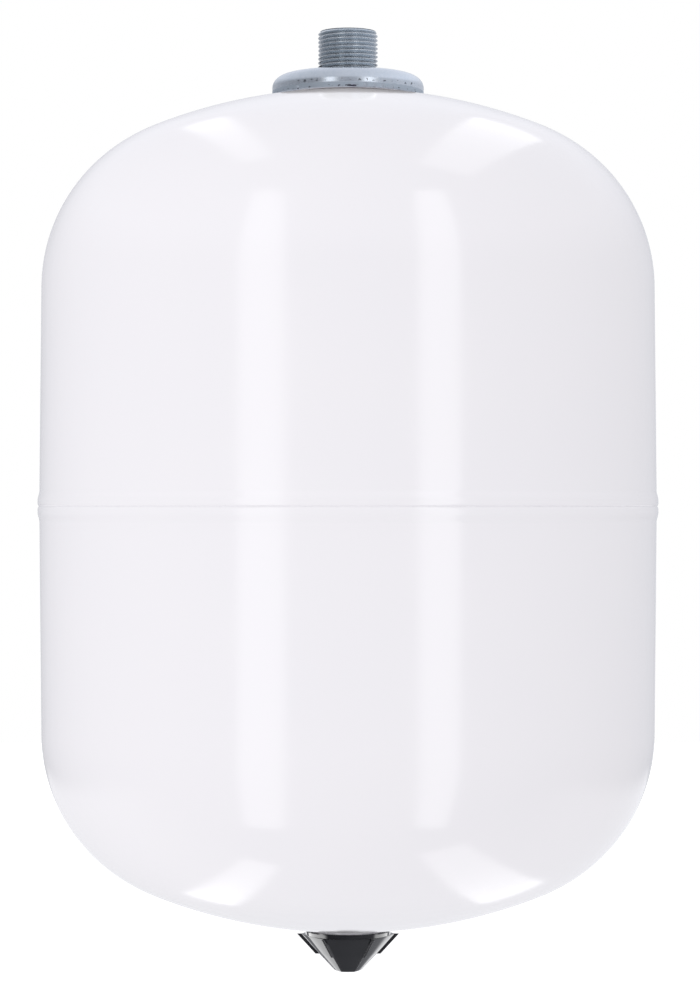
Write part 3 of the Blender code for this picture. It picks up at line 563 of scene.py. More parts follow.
def make_connection_nipple(zinc):
    low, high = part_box("connection_nipple")
    flange_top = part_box("clamp_flange")[1].z
    radii = steps_of("connection_nipple")[0]
    bore, foot_radius = radii[0], radii[-1]
    crest, depth = PIPE_THREAD_CREST, PIPE_THREAD_DEPTH
    root = crest - depth
    foot_top = flange_top - FLANGE_WALL - GAP
    start = flange_top + 0.4 * MM
    spacing = PIPE_THREAD_PITCH / 22.0
    threaded = [(crest, level) for level in levels_between(start, high.z, spacing)]
    outline = rounded([(bore, high.z, 0.25 * MM), (bore, low.z, 0.2 * MM),
                       (foot_radius, low.z, 0.3 * MM), (foot_radius, foot_top, 0.3 * MM),
                       (root, foot_top), (root, start)])
    outline += threaded + [(root + 0.2 * MM, high.z), (root - 0.3 * MM, high.z)]

    def shape(angles, radii, heights):
        on_thread = (radii > crest - 1e-6) & (heights > start) & (heights < high.z)
        wave = thread_wave(angles, heights - start, PIPE_THREAD_PITCH)
        wear = PIPE_THREAD_WEAR * (1.0 + 0.5 * np.sin(3.0 * angles + heights / (2.1 * MM)))
        run_out = smooth_step(heights, start, start + PIPE_THREAD_RUN_OUT)
        shaped = np.minimum(root + depth * wave, crest - wear)
        shaped = root + (shaped - root) * (0.25 + 0.75 * run_out)
        shaped = np.minimum(shaped, root - 0.1 * MM + (high.z - heights))
        dents = 0.05 * MM * np.sin(7.0 * angles + 900.0 * heights) * (1.0 - run_out)
        return np.where(on_thread, shaped + dents, radii), heights

    turned("connection_nipple", "thread", outline, zinc, FITTING_SEGMENTS, shape, 60.0)


GRID_HOLE_RADIUS = 1.8 * MM
GRID_HOLE_CIRCLE = 5.6 * MM


def make_liner_and_grid(plastic_white):
    (inner, outer, foot), (low, foot_top, top) = steps_of("nipple_liner")
    outline = rounded([(inner, low, 0.2 * MM), (foot, low, 0.2 * MM), (foot, foot_top, 0.2 * MM),
                       (outer, foot_top, 0.2 * MM), (outer, top, 0.35 * MM),
                       (inner, top, 0.35 * MM)])
    turned("nipple_liner", "sleeve", outline, plastic_white)

    low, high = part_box("inlet_grid")
    grid = lathe("inlet_grid_disc", disc_outline(low, high, 0.3 * MM), SMALL_SEGMENTS)
    bm = bmesh.new()
    centres = [(0.0, 0.0)] + arc((0.0, 0.0), GRID_HOLE_CIRCLE, 0.0, 300.0, 5)
    for x, y in centres:
        made = bmesh.ops.create_cone(bm, cap_ends=True, segments=40, radius1=GRID_HOLE_RADIUS,
                                     radius2=GRID_HOLE_RADIUS, depth=4.0 * MM)
        bmesh.ops.translate(bm, verts=made["verts"], vec=(x, y, (low.z + high.z) / 2.0))
    carve(grid, new_object("grid_holes", bm))
    place(grid, "inlet_grid", plastic_white)


# ---------------------------------------------------------------- bladder

BLADDER_WALL = 2.2 * MM
BLADDER_NECK_RADIUS = 18.4 * MM
BLADDER_NECK_BOTTOM = 381.0 * MM
BLADDER_BELLY_Z = 222.0 * MM
BLADDER_LIP_RADIUS = 30.2 * MM
BLADDER_SEGMENTS = 200
BLADDER_RIBS = 10
BLADDER_RIB_HEIGHT = 0.5 * MM


def bag_curve(radius, bottom, inset, steps):
    """The bag from its neck down to its bottom point, moved inwards by inset."""
    neck_share = BLADDER_NECK_RADIUS / radius
    upper = (BLADDER_NECK_BOTTOM - BLADDER_BELLY_Z) / math.sqrt(1.0 - neck_share ** 2) - inset
    lower = BLADDER_BELLY_Z - bottom - inset
    neck_angle = math.acos((BLADDER_NECK_RADIUS - inset) / (radius - inset))
    points = []
    for angle in np.linspace(neck_angle, -math.pi / 2.0, steps + 1):
        half = upper if angle > 0.0 else lower
        points.append(((radius - inset) * max(0.0, math.cos(angle)),
                       BLADDER_BELLY_Z + half * math.sin(angle)))
    points[-1] = (0.0, points[-1][1])
    return points


def make_bladder(black):
    low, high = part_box("bladder")
    radius = high.x
    outer = bag_curve(radius, low.z, 0.0, 80)
    inner = bag_curve(radius, low.z, BLADDER_WALL, 40)

    def ribs(angles, radii, heights):
        share = np.clip(radii / radius, 0.0, 1.0) ** 2
        ridge = np.clip(np.cos(BLADDER_RIBS * angles), 0.0, 1.0) ** 8
        return radii - BLADDER_RIB_HEIGHT * (1.0 - ridge) * share, heights

    bag = lathe("bladder_bag", outer + inner[::-1], BLADDER_SEGMENTS, ribs)
    place(bag, "bladder", black, body="tank")
    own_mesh(bag)

    lip_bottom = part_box("neck_ring")[1].z + GAP
    neck_inner = BLADDER_NECK_RADIUS - BLADDER_WALL
    outline = rounded([(neck_inner, high.z, 0.5 * MM), (neck_inner, BLADDER_NECK_BOTTOM),
                       (BLADDER_NECK_RADIUS, BLADDER_NECK_BOTTOM),
                       (BLADDER_NECK_RADIUS, lip_bottom, 0.4 * MM),
                       (BLADDER_LIP_RADIUS, lip_bottom, 0.7 * MM),
                       (BLADDER_LIP_RADIUS, high.z, 0.7 * MM)])
    place(lathe("bladder_neck", outline, SMALL_SEGMENTS), "bladder", black, body="tank")


# ---------------------------------------------------------------- bottom fitting

def make_valve_collar(paint):
    radii, heights = steps_of("valve_collar")
    hole, well, well_outer, spigot, spigot_outer, _, rim = radii
    spigot_low, disc_low, disc_top = heights[0], heights[1], heights[2]
    well_floor, well_top = heights[-2], heights[-1]
    dome = heights[-3]
    outline = rounded([(hole, well_floor, 0.2 * MM), (well, well_floor, 0.5 * MM),
                       (well, disc_low, 0.5 * MM), (spigot, disc_low),
                       (spigot, spigot_low, 0.25 * MM), (spigot_outer, spigot_low, 0.5 * MM),
                       (spigot_outer, disc_low, 0.3 * MM), (rim, disc_low, 0.6 * MM),
                       (rim, disc_top, 0.3 * MM), (well_outer, dome), (well_outer, well_top, 0.4 * MM),
                       (hole, well_top, 0.2 * MM)])
    turned("valve_collar", "body", outline, paint)


CAP_SIDES = 6
CAP_WAIST_Z = 7.5 * MM
CAP_TIP_RADIUS = 5.7 * MM
CAP_TIP_EDGE = 0.5 * MM
CAP_WAIST_RADIUS = 12.9 * MM
CAP_RIM_RADIUS = 20.8 * MM
CAP_LEDGE_Z = 16.3 * MM
CAP_SKIRT_FOOT_RADIUS = 18.7 * MM
CAP_SKIRT_RADIUS = 19.0 * MM
CAP_SKIRT_BORE_RADIUS = 17.1 * MM
FIN_DEPTH_RIM = 1.7 * MM
FIN_DEPTH_END = 1.5 * MM
FIN_HALF_THICKNESS = 0.55 * MM
FIN_EDGE = 0.22 * MM
FIN_END_ROUND = 0.15 * MM
FACET_BULGE = 0.8 * MM
FACET_POINTS = 14
CAP_CORNER_ROUND = 0.12 * MM
CAP_BORE_RADIUS = 13.7 * MM
CAP_BORE_BOTTOM = 12.3 * MM
CAP_WAIST_HOLLOW = 9.9 * MM
CAP_TIP_HOLLOW = 5.2 * MM
CAP_FLOOR = 1.4 * MM
CAP_LEVEL_SPACING = 0.7 * MM


def cap_section(corner_radius, fin_depth, bulge, corner_round):
    """Points round the axis at one level of the cap: six bulged sides, with a fin on each corner."""
    points = []
    apothem = corner_radius * math.cos(math.pi / CAP_SIDES)
    half_side = corner_radius * math.sin(math.pi / CAP_SIDES)
    for side in range(CAP_SIDES):
        corner = math.tau * side / CAP_SIDES
        outward = np.array([math.cos(corner), math.sin(corner)])
        sideways = np.array([-outward[1], outward[0]])
        for angle in np.radians(np.linspace(-90.0, 90.0, 9)):
            across = (FIN_HALF_THICKNESS - FIN_EDGE) * np.sign(round(angle, 9))
            tip = corner_radius - corner_round + fin_depth - FIN_EDGE
            local = (tip + FIN_EDGE * math.cos(angle), across + FIN_EDGE * math.sin(angle))
            points.append(outward * local[0] + sideways * local[1])
        middle = corner + math.pi / CAP_SIDES
        facing = np.array([math.cos(middle), math.sin(middle)])
        along = np.array([-facing[1], facing[0]])
        inset = FIN_HALF_THICKNESS / math.cos(math.pi / CAP_SIDES)
        reach = half_side - inset
        for share in np.linspace(-1.0, 1.0, FACET_POINTS):
            points.append(facing * (apothem + bulge * (1.0 - share * share)) + along * reach * share)
    return np.array(points)


def cap_radius_at(height):
    share = (height - CAP_WAIST_Z) / (CAP_LEDGE_Z - CAP_WAIST_Z)
    if share < 0.0:
        tip_share = height / CAP_WAIST_Z
        return CAP_TIP_RADIUS + (CAP_WAIST_RADIUS - CAP_TIP_RADIUS) * tip_share
    return CAP_WAIST_RADIUS + (CAP_RIM_RADIUS - CAP_WAIST_RADIUS) * share


def cap_ring(height, shrink=0.0, finned=False):
    """Points of one level of the cap's outside."""
    depth, corner_round = 0.0, CAP_CORNER_ROUND
    if finned:
        share = (height - CAP_WAIST_Z) / (CAP_LEDGE_Z - CAP_WAIST_Z)
        depth, corner_round = FIN_DEPTH_END + (FIN_DEPTH_RIM - FIN_DEPTH_END) * share, 0.0
    radius = cap_radius_at(height) - shrink
    flat = cap_section(radius, depth, FACET_BULGE * radius / CAP_RIM_RADIUS, corner_round)
    return np.column_stack([flat, np.full(len(flat), height)])


def make_protective_cap(black):
    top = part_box("protective_cap")[1].z
    edge = CAP_TIP_EDGE
    rings = [cap_ring(0.0, edge)]
    rings += [cap_ring(edge * (1.0 - math.cos(a)), edge * (1.0 - math.sin(a)))
              for a in np.radians(np.linspace(15.0, 90.0, 6))]
    rings += [cap_ring(level) for level in levels_between(0.6 * MM, CAP_WAIST_Z, CAP_LEVEL_SPACING)]
    rings += [cap_ring(CAP_WAIST_Z - 0.02 * MM), cap_ring(CAP_WAIST_Z, finned=True)]
    fin_levels = levels_between(CAP_WAIST_Z, CAP_LEDGE_Z - 0.2 * MM, CAP_LEVEL_SPACING)
    rings += [cap_ring(level, finned=True) for level in fin_levels]
    edge = FIN_END_ROUND
    rings += [cap_ring(CAP_LEDGE_Z - edge * (1.0 - math.sin(a)), edge * (1.0 - math.cos(a)), True)
              for a in np.radians(np.linspace(0.0, 90.0, 5))]

    directions = np.arctan2(rings[-1][:, 1], rings[-1][:, 0])
    inside = rounded([(CAP_SKIRT_FOOT_RADIUS, CAP_LEDGE_Z), (CAP_SKIRT_RADIUS, top, 0.35 * MM),
                      (CAP_SKIRT_BORE_RADIUS, top, 0.35 * MM), (CAP_SKIRT_BORE_RADIUS, CAP_LEDGE_Z),
                      (CAP_BORE_RADIUS, CAP_LEDGE_Z, 0.4 * MM),
                      (CAP_BORE_RADIUS, CAP_BORE_BOTTOM, 0.2 * MM),
                      (CAP_WAIST_HOLLOW, CAP_WAIST_Z), (CAP_TIP_HOLLOW, CAP_FLOOR, 0.3 * MM),
                      (0.0, CAP_FLOOR)])
    rings += [ring_points(directions, radius, height) for radius, height in inside]
    bm = bmesh.new()
    grid = skin(bm, rings, loop_rows=False)
    bm.faces.new(grid[0])
    place(new_object("protective_cap_body", bm, 30.0), "protective_cap", black)


def make_valve_stem(brass):
    low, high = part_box("valve_stem")
    radii, heights = steps_of("valve_stem")
    bore, mouth = radii[0], radii[1]
    stem, top_radius, head = radii[-3], radii[-2], radii[-1]
    mouth_top, bore_start, head_low, head_top = heights[2], heights[3], heights[4], heights[5]
    spacing = VALVE_THREAD_PITCH / 12.0
    start, end = low.z, head_low - 2.0 * MM
    root = stem - VALVE_THREAD_DEPTH
    threaded = [(stem, level) for level in levels_between(start, end, spacing)]
    outline = [(mouth, low.z), (root, low.z)] + threaded
    outline += rounded([(stem, end), (stem, head_low, 0.2 * MM), (head, head_low, 0.3 * MM),
                        (head, head_top, 0.3 * MM), (top_radius, head_top, 0.2 * MM),
                        (top_radius, high.z, 0.3 * MM), (bore, high.z, 0.2 * MM),
                        (bore, bore_start), (mouth, mouth_top)])

    def shape(angles, radii, heights):
        on_thread = (np.abs(radii - stem) < 1e-7) & (heights > start) & (heights < end)
        wave = thread_wave(angles, heights, VALVE_THREAD_PITCH)
        fade = 1.0 - smooth_step(heights, end - VALVE_THREAD_PITCH, end)
        cut = stem - VALVE_THREAD_DEPTH * (1.0 - wave) * fade
        cut = np.minimum(cut, root + (heights - low.z))
        return np.where(on_thread, cut, radii), heights

    turned("valve_stem", "body", outline, brass, SMALL_SEGMENTS, shape)


def make_valve_clamp(black, steel, brass):
    for node, material, edge in (("valve_gasket", black, 0.35), ("valve_washer", steel, 0.15)):
        radii, heights = steps_of(node)
        ring = ring_outline(*radii, *heights, edge * MM)
        turned(node, "ring", ring, material, SMALL_SEGMENTS)

    radii, (low, high) = steps_of("valve_nut")
    bore, corner = radii[0], radii[-1]
    flat = corner * math.cos(math.pi / 6.0)
    bevel = (corner - flat) * 0.58
    levels = levels_between(low + bevel, high - bevel, 0.4 * MM)
    outline = [(bore + 0.3 * MM, low), (flat - 0.1 * MM, low), (corner, low + bevel)]
    outline += [(corner, level) for level in levels]
    outline += [(corner, high - bevel), (flat - 0.1 * MM, high), (bore + 0.3 * MM, high),
                (bore, high - 0.3 * MM), (bore, low + 0.3 * MM)]

    def hexagon(angles, radii, heights):
        reach = flat / np.cos((angles % (math.pi / 3.0)) - math.pi / 6.0)
        return np.minimum(radii, reach), heights

    turned("valve_nut", "body", outline, brass, SMALL_SEGMENTS, hexagon, 25.0)


CORE_PLUG_HOLE_RADIUS = 0.95 * MM
CORE_PLUG_RADIUS = 2.4 * MM
CORE_PLUG_FLAT = 1.5 * MM
CORE_PLUG_FLAT_HEIGHT = 1.6 * MM


def make_core_plug(brass):
    """A short thread above two flats for the valve key."""
    low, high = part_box("core_plug")
    hole, radius = CORE_PLUG_HOLE_RADIUS, CORE_PLUG_RADIUS
    flat_top = low.z + CORE_PLUG_FLAT_HEIGHT
    outline = [(hole, low.z), (radius, low.z), (radius, flat_top), (radius, flat_top + 0.01 * MM)]
    outline += [(radius, level) for level in levels_between(flat_top + 0.05 * MM, high.z, 0.07 * MM)]
    outline += [(radius - 0.2 * MM, high.z), (hole, high.z)]

    def plug_shape(angles, radii, heights):
        outside = radii > radius - 1e-7
        flats = CORE_PLUG_FLAT / np.maximum(np.abs(np.cos(angles)), 1e-6)
        wave = thread_wave(angles, heights, CORE_THREAD_PITCH)
        threaded = np.minimum(radius - CORE_THREAD_DEPTH * (1.0 - wave),
                              radius - CORE_THREAD_DEPTH + high.z - heights)
        below = heights <= flat_top + 1e-9
        shaped = np.where(below, np.minimum(radii, flats), threaded)
        return np.where(outside, shaped, radii), heights

    turned("core_plug", "body", outline, brass, SMALL_SEGMENTS, plug_shape)


def make_valve_core(brass, sealing, black, steel):
    make_core_plug(brass)
    (seat_radius, bore, outer), (low, seat, top) = steps_of("core_barrel")
    barrel = rounded([(bore, low), (outer, low, 0.15 * MM), (outer, top, 0.12 * MM),
                      (seat_radius, top, 0.1 * MM), (seat_radius, seat), (bore, seat)])
    turned("core_barrel", "body", barrel, brass, SMALL_SEGMENTS)

    (inner, tip, outer), (low, shoulder, top) = steps_of("core_seal")
    seal = rounded([(inner, low), (outer, low, 0.12 * MM), (outer, shoulder, 0.12 * MM),
                    (tip, top, 0.12 * MM), (inner, top)])
    turned("core_seal", "ring", seal, sealing, SMALL_SEGMENTS)

    (pin, collar, cup), heights = steps_of("core_pin")
    tip_z, collar_low, collar_top, cup_low, cup_top = heights
    outline = rounded([(0.0, tip_z), (pin, tip_z, 0.2 * MM), (pin, collar_low),
                       (collar, collar_low, 0.15 * MM), (collar, collar_top, 0.1 * MM),
                       (pin, collar_top), (pin, cup_low), (cup, cup_low, 0.1 * MM),
                       (cup, cup_top, 0.3 * MM), (0.0, cup_top)])
    turned("core_pin", "body", outline, brass, SMALL_SEGMENTS)

    (inner, outer), (low, high) = steps_of("core_pad")
    pad = rounded([(inner, low, 0.08 * MM), (outer, low, 0.1 * MM), (outer, high, 0.1 * MM),
                   (inner, high, 0.08 * MM)])
    turned("core_pad", "ring", pad, black, SMALL_SEGMENTS)
    make_core_spring(steel)


SPRING_WIRE_RADIUS = 0.15 * MM
SPRING_COIL_RADIUS = 0.8 * MM
SPRING_TURNS = 5
SPRING_STEPS_PER_TURN = 40


def make_core_spring(steel):
    low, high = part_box("core_spring")
    wire, coil = SPRING_WIRE_RADIUS, SPRING_COIL_RADIUS
    steps = SPRING_TURNS * SPRING_STEPS_PER_TURN
    rings = []
    for step in range(steps + 1):
        angle = math.tau * step / SPRING_STEPS_PER_TURN
        height = low.z + wire + (high.z - low.z - 2.0 * wire) * step / steps
        ring = []
        for turn in math.tau * np.arange(12) / 12:
            radius = coil + wire * math.cos(turn)
            ring.append((radius * math.cos(angle), radius * math.sin(angle),
                         height + wire * math.sin(turn)))
        rings.append(ring)
    bm = bmesh.new()
    grid = skin(bm, rings, loop_rows=False)
    bm.faces.new(grid[0])
    bm.faces.new(grid[-1][::-1])
    spring = place(new_object("core_spring_wire", bm), "core_spring", steel)
    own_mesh(spring)


DUST_CAP_FLUTES = 24
DUST_CAP_FLUTE_DEPTH = 0.32 * MM


def make_dust_cap(cap_plastic, black):
    low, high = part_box("dust_cap")
    radii, heights = steps_of("dust_cap")
    bore, outer = radii[0], radii[-1]
    floor = heights[2]
    grip_low, grip_high = low.z + 1.0 * MM, high.z - 1.6 * MM
    grip = [(outer, level) for level in levels_between(grip_low, grip_high, 0.35 * MM)]
    outline = rounded([(0.0, low.z), (outer, low.z, 0.6 * MM), (outer, grip_low)])
    outline += grip
    outline += rounded([(outer, grip_high), (outer, high.z, 0.3 * MM), (bore, high.z, 0.25 * MM),
                        (bore, floor, 0.3 * MM), (0.0, floor)])

    def flutes(angles, radii, heights):
        ends = smooth_step(heights, grip_low, grip_low + 0.6 * MM)
        ends = ends * (1.0 - smooth_step(heights, grip_high - 0.6 * MM, grip_high))
        groove = 0.5 - 0.5 * np.cos(DUST_CAP_FLUTES * angles)
        outside = radii > outer - 1e-7
        return radii - DUST_CAP_FLUTE_DEPTH * groove * ends * outside, heights

    turned("dust_cap", "body", outline, cap_plastic, 8 * DUST_CAP_FLUTES, flutes)

    seal = disc_outline(*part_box("dust_cap_seal"), 0.25 * MM)
    turned("dust_cap_seal", "disc", seal, black, SMALL_SEGMENTS)


# ---------------------------------------------------------------- floor, light and camera

FLOOR_Z = -90.0 * MM
FLOOR_RADII = (0.001, 0.2, 0.5, 1.0, 2.4)
FLOOR_GLOW = 0.22


def make_floor():
    """A plain white floor below the vessel. It is lit evenly, and only camera rays see its glow."""
    rings = [ring_points(math.tau * np.arange(96) / 96, radius, FLOOR_Z) for radius in FLOOR_RADII]
    bm = bmesh.new()
    skin(bm, rings, loop_rows=False)
    floor = new_object("floor", bm)
    s = Shader("floor_white")
    cloud = s.noise(0.4, detail=2.0)
    tone = s.mix(cloud, (0.93, 0.93, 0.93), (0.95, 0.95, 0.95))
    glow = s.add("ShaderNodeLightPath").outputs["Is Camera Ray"]
    s.finish(Base_Color=tone, Roughness=0.9, Emission_Color=(1.0, 1.0, 1.0),
             Emission_Strength=s.math("MULTIPLY", glow, FLOOR_GLOW))
    floor.data.materials.append(s.material)
    floor.visible_glossy = False
    floor.visible_diffuse = False


def emission_card(name, rows, strength, soft_across, soft_along):
    """A soft-edged glowing sheet that only reflections see. rows is a list of pairs of points."""
    bm = bmesh.new()
    layer = bm.loops.layers.uv.new("card")
    grid = [[bm.verts.new(point) for point in row] for row in rows]
    for index in range(len(grid) - 1):
        corners = (grid[index][0], grid[index][1], grid[index + 1][1], grid[index + 1][0])
        face = bm.faces.new(corners)
        low, high = index / (len(grid) - 1), (index + 1) / (len(grid) - 1)
        places = ((0.0, low), (1.0, low), (1.0, high), (0.0, high))
        for loop, place_on_card in zip(face.loops, places):
            loop[layer].uv = place_on_card
    mesh = bpy.data.meshes.new(name)
    bm.to_mesh(mesh)
    bm.free()
    card = bpy.data.objects.new(name, mesh)
    bpy.context.scene.collection.objects.link(card)

    s = Shader(name + "_glow")
    flat = s.add("ShaderNodeUVMap", {"uv_map": "card"}).outputs["UV"]
    split = s.add("ShaderNodeSeparateXYZ", Vector=flat)
    shares = []
    for axis, soft in (("X", soft_across), ("Y", soft_along)):
        value = split.outputs[axis]
        near = s.math("MINIMUM", value, s.math("SUBTRACT", 1.0, value))
        shares.append(s.span(near, 0.0, soft))
    level = s.math("MULTIPLY", s.math("MULTIPLY", shares[0], shares[1]), strength)
    glow = s.add("ShaderNodeEmission", Strength=level)
    clear = s.add("ShaderNodeBsdfTransparent")
    both = s.add("ShaderNodeAddShader", i0=glow.outputs["Emission"], i1=clear.outputs["BSDF"])
    s.feed(s.tree.nodes["Material Output"].inputs["Surface"], both.outputs["Shader"])
    s.tree.nodes.remove(s.surface)
    mesh.materials.append(s.material)
    card.visible_camera = False
    card.visible_diffuse = False
    card.visible_shadow = False
    return card


# Two tall strips of light stand in front of the vessel: name, strength and two long edges. Each edge
# has x at its bottom, middle and top, then the heights of its two ends above the seam.
STRIP_Y = -0.8
STRIP_SOFT = (0.22, 0.015)
STRIPS = (
    ("right_strip", 1.87, ((0.438, 0.306, 0.441), (-1.084, 1.169)),
     ((0.829, 0.666, 0.865), (-1.316, 1.440))),
    ("left_strip", 1.6, ((-0.399, -0.259, -0.432), (-1.116, 1.165)),
     ((-0.921, -0.650, -0.850), (-1.323, 1.428))),
)
# Level cards: name, height, x and y of the edges, strength, soft shares across and along. The height
# is above the seam for those that light the paint, and above the cap's tip for those of the cap.
PAINT_CARDS = (
    ("upper_right", 0.9, (0.270, 0.550), (-0.30, 0.90), 1.0, 0.06, 0.05),
    ("upper_left", 0.9, (-0.250, -0.430), (-0.20, 0.88), 0.9, 0.25, 0.05),
    ("lower_right", -0.9, (0.280, 0.540), (-0.34, 0.98), 1.4, 0.06, 0.05),
    ("lower_left", -0.9, (-0.220, -0.430), (-0.20, 0.86), 1.6, 0.25, 0.05),
    ("below_fill", -0.9, (-2.6, 2.6), (-0.6, 6.0), 0.45, 0.2, 0.15),
)
CAP_CARDS = (
    ("cap_left_near", -0.25, (-0.06, -0.60), (0.12, 0.46), 1.9, 0.08, 0.02),
    ("cap_left_far", -0.25, (-0.04, -0.60), (0.61, 1.60), 1.5, 0.08, 0.02),
    ("cap_right_far", -0.25, (0.04, 0.60), (0.36, 1.60), 1.35, 0.08, 0.10),
    ("cap_left_side", -0.25, (-0.45, -0.95), (-0.35, 0.80), 6.0, 0.10, 0.15),
    ("cap_right_side", -0.25, (0.45, 0.95), (-0.20, 0.80), 4.5, 0.10, 0.15),
)
# Upright cards for the zinc, at one metre: name, and the degrees from the -Y side of their edges.
ZINC_CARDS = (("fitting_left", (-36.0, -17.0)), ("fitting_right", (22.0, 41.0)))
ZINC_CARD_ELEVATIONS = (-1.0, 5.0, 11.0, 17.0)
ZINC_CARD_BASE_Z = 0.40
ZINC_CARD_STRENGTH = 1.4
ZINC_CARD_SOFT = (0.2, 0.1)
SLEEVE_STRENGTH = 0.6

PAINTED_PIECES = ("upper_shell_skin", "lower_shell_skin", "neck_ring_body", "valve_collar_body")
ZINC_PIECES = ("clamp_flange_body", "connection_nipple_thread")
UNMIRRORED_PIECES = ("clamp_flange_body", "neck_ring_body", "protective_cap_body")


def strip_card(name, strength, inner, outer, seam_z):
    rows = []
    for t in np.linspace(-1.0, 1.0, 17):
        row = []
        for (bottom, middle, top), (z_bottom, z_top) in (inner, outer):
            bend = (top + bottom) / 2.0 - middle
            x = middle + (top - bottom) / 2.0 * t + bend * t * t
            z = t * (z_top if t > 0.0 else -z_bottom)
            row.append((x, STRIP_Y, seam_z + z))
        rows.append(row)
    return emission_card(name, rows, strength, *STRIP_SOFT)


def level_card(name, height, across, along, strength, soft_across, soft_along, base=0.0):
    """A card from across[0] to across[1] in x and along[0] to along[1] in y, at height over base."""
    rows = [((across[0], y, base + height), (across[1], y, base + height))
            for y in np.linspace(*along, 5)]
    return emission_card(name, rows, strength, soft_across, soft_along)


def light_only(cards, pieces, name):
    """Let the cards light these pieces and nothing else."""
    group = bpy.data.collections.new(name)
    for piece in pieces:
        group.objects.link(bpy.data.objects[piece])
    for card in cards:
        card.light_linking.receiver_collection = group


def thread_sleeve():
    """A glowing tube close round the thread, which hides the thread's mirror image in the paint."""
    cad_crest = steps_of("connection_nipple")[0][-2]
    turns = np.linspace(0.0, math.tau, 49)
    bottom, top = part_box("clamp_flange")[1].z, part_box("connection_nipple")[1].z
    rows = list(zip(*(ring_points(turns, 1.005 * cad_crest, height) for height in (bottom, top))))
    return emission_card("thread_sleeve", rows, SLEEVE_STRENGTH, 0.001, 0.001)


def make_paint_cards(seam_z):
    """Lights for the painted pieces. Three pieces are kept out of all mirrors, and the flange casts
    no shadow, as in the photo."""
    cards = [strip_card(*strip, seam_z) for strip in STRIPS]
    cards += [level_card(*card, base=seam_z) for card in PAINT_CARDS]
    cards.append(thread_sleeve())
    light_only(cards, PAINTED_PIECES, "painted_pieces")
    for name in UNMIRRORED_PIECES:
        bpy.data.objects[name].visible_glossy = False
    flange = bpy.data.objects["clamp_flange_body"]
    flange.visible_shadow = False
    flange.visible_diffuse = False


def make_zinc_cards():
    """Two cards in front that only the zinc fitting reflects, as narrow highlights."""
    cards = []
    for name, edges in ZINC_CARDS:
        turns = np.radians(edges)
        rows = [[(math.sin(a), -math.cos(a), ZINC_CARD_BASE_Z + math.tan(rise)) for a in turns]
                for rise in np.radians(ZINC_CARD_ELEVATIONS)]
        cards.append(emission_card(name, rows, ZINC_CARD_STRENGTH, *ZINC_CARD_SOFT))
    light_only(cards, ZINC_PIECES, "zinc_pieces")


def make_cap_cards():
    """Pale cards under and behind the cap that only it reflects, with a dark gap on the left."""
    cards = [level_card(*card) for card in CAP_CARDS]
    light_only(cards, ("protective_cap_body",), "cap_only")


# How bright the sky is in mirrors, from straight down (0) through level (0.5) to straight up (1).
MIRRORED_SKY = ((0.0, 0.45), (0.3, 0.40), (0.42, 0.45), (0.47, 0.52), (0.53, 0.52), (0.6, 0.56),
                (0.725, 0.88), (0.875, 0.85), (1.0, 0.80))
MIRRORED_SLOPE = (0.18, 0.12, 0.0)
DIFFUSE_SLOPE = (-0.155, -0.127, 0.0)
DIFFUSE_LEVEL = 1.008


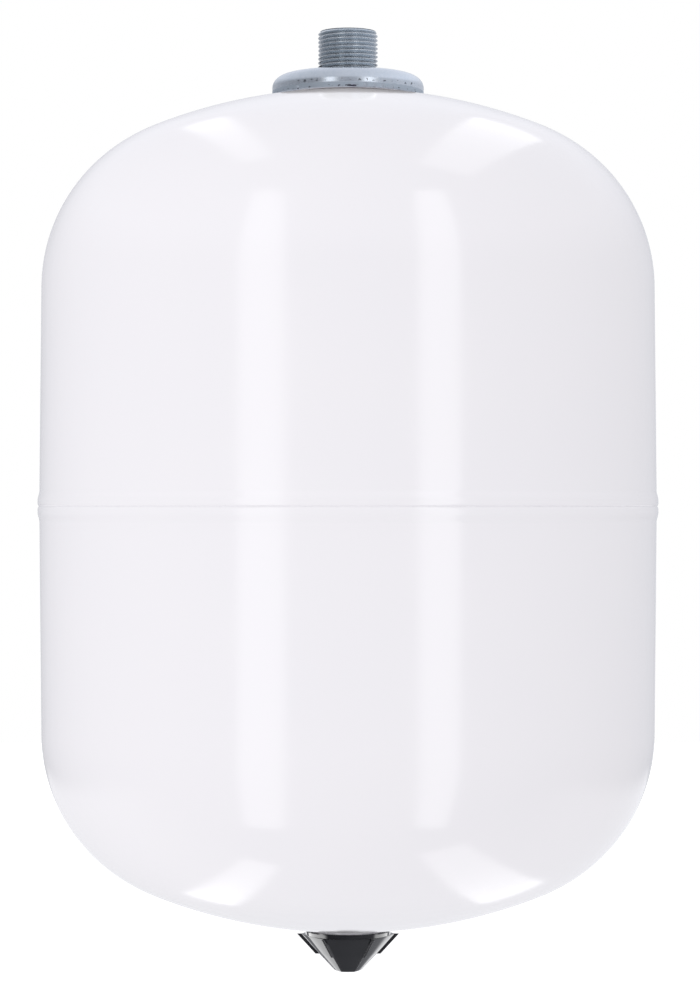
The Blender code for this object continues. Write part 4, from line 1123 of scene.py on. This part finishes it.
def make_world():
    """White for the camera. The sky that lights is brighter in front and on the left, and the one in
    mirrors is brighter behind and on the right."""
    world = bpy.data.worlds.new("studio")
    bpy.context.scene.world = world
    world.use_nodes = True
    world.node_tree.nodes.clear()
    sky = Nodes(world.node_tree)
    direction = sky.add("ShaderNodeTexCoord").outputs["Generated"]

    def gradient(slope, level):
        rise = sky.add("ShaderNodeVectorMath", {"operation": "DOT_PRODUCT"}, i0=direction, i1=slope)
        return sky.math("ADD", rise.outputs["Value"], level)

    def background(tint, strength):
        return sky.add("ShaderNodeBackground", Color=tint, Strength=strength).outputs["Background"]

    height = sky.add("ShaderNodeSeparateXYZ", Vector=direction).outputs["Z"]
    share = sky.add("ShaderNodeMapRange", Value=height, From_Min=-1.0).outputs["Result"]
    ramp = sky.add("ShaderNodeValToRGB", Fac=share)
    elements = ramp.color_ramp.elements
    while len(elements) < len(MIRRORED_SKY):
        elements.new(0.5)
    for element, (position, level) in zip(elements, MIRRORED_SKY):
        element.position = position
        element.color = (level, level, level, 1.0)
    mirrored = sky.math("ADD", ramp.outputs["Color"], gradient(MIRRORED_SLOPE, 0.0))

    diffuse = background((1.0, 0.995, 1.01), gradient(DIFFUSE_SLOPE, DIFFUSE_LEVEL))
    glossy = background((0.96, 0.98, 1.05), mirrored)
    white = background((1.0, 1.0, 1.0), 1.0)
    ray = sky.add("ShaderNodeLightPath").outputs
    lit = sky.add("ShaderNodeMixShader", i0=ray["Is Glossy Ray"], i1=diffuse, i2=glossy)
    seen = sky.add("ShaderNodeMixShader", i0=ray["Is Camera Ray"], i1=lit.outputs["Shader"], i2=white)
    sky.add("ShaderNodeOutputWorld", Surface=seen.outputs["Shader"])


CAMERA_DISTANCE = 1.3
CAMERA_LENS = 106.0
CAMERA_SHIFT = (0.002, 0.0063)


def make_camera(seam_z):
    data = bpy.data.cameras.new("camera")
    camera = bpy.data.objects.new("camera", data)
    bpy.context.scene.collection.objects.link(camera)
    camera.location = (0.0, -CAMERA_DISTANCE, seam_z)
    camera.rotation_euler = (math.radians(90.0), 0.0, 0.0)
    data.sensor_width = 36.0
    data.lens = CAMERA_LENS
    data.shift_x, data.shift_y = CAMERA_SHIFT
    data.clip_start = 0.05
    data.clip_end = 20.0
    bpy.context.scene.camera = camera


def main():
    paint = white_paint()
    zinc = zinc_plate()
    steel = metal("plain_steel", (0.36, 0.36, 0.37), (0.52, 0.52, 0.53), 0.42)
    brass = metal("brass", (0.62, 0.43, 0.17), (0.78, 0.58, 0.27), 0.32)
    black = rubber()
    liner_plastic = plastic("natural_plastic", (0.70, 0.71, 0.68), (0.80, 0.81, 0.78), 0.45)
    dust_plastic = plastic("dust_cap_plastic", (0.014, 0.014, 0.015), (0.03, 0.03, 0.031), 0.42)
    sealing = plastic("seal_plastic", (0.60, 0.08, 0.05), (0.75, 0.13, 0.09), 0.45)

    seam_z = make_tank(paint, steel)
    make_neck_ring(white_paint("white_neck_coat", 0.3))
    make_clamp_flange(zinc)
    make_connection_nipple(thread_zinc())
    make_liner_and_grid(liner_plastic)
    make_bladder(black)
    make_valve_collar(paint)
    make_protective_cap(black_gloss_plastic())
    make_valve_stem(brass)
    make_valve_clamp(black, steel, brass)
    make_valve_core(brass, sealing, black, steel)
    make_dust_cap(dust_plastic, black)

    make_floor()
    make_paint_cards(seam_z)
    make_zinc_cards()
    make_cap_cards()
    make_world()
    make_camera(seam_z)
    bpy.context.scene.view_settings.view_transform = "Standard"


main()
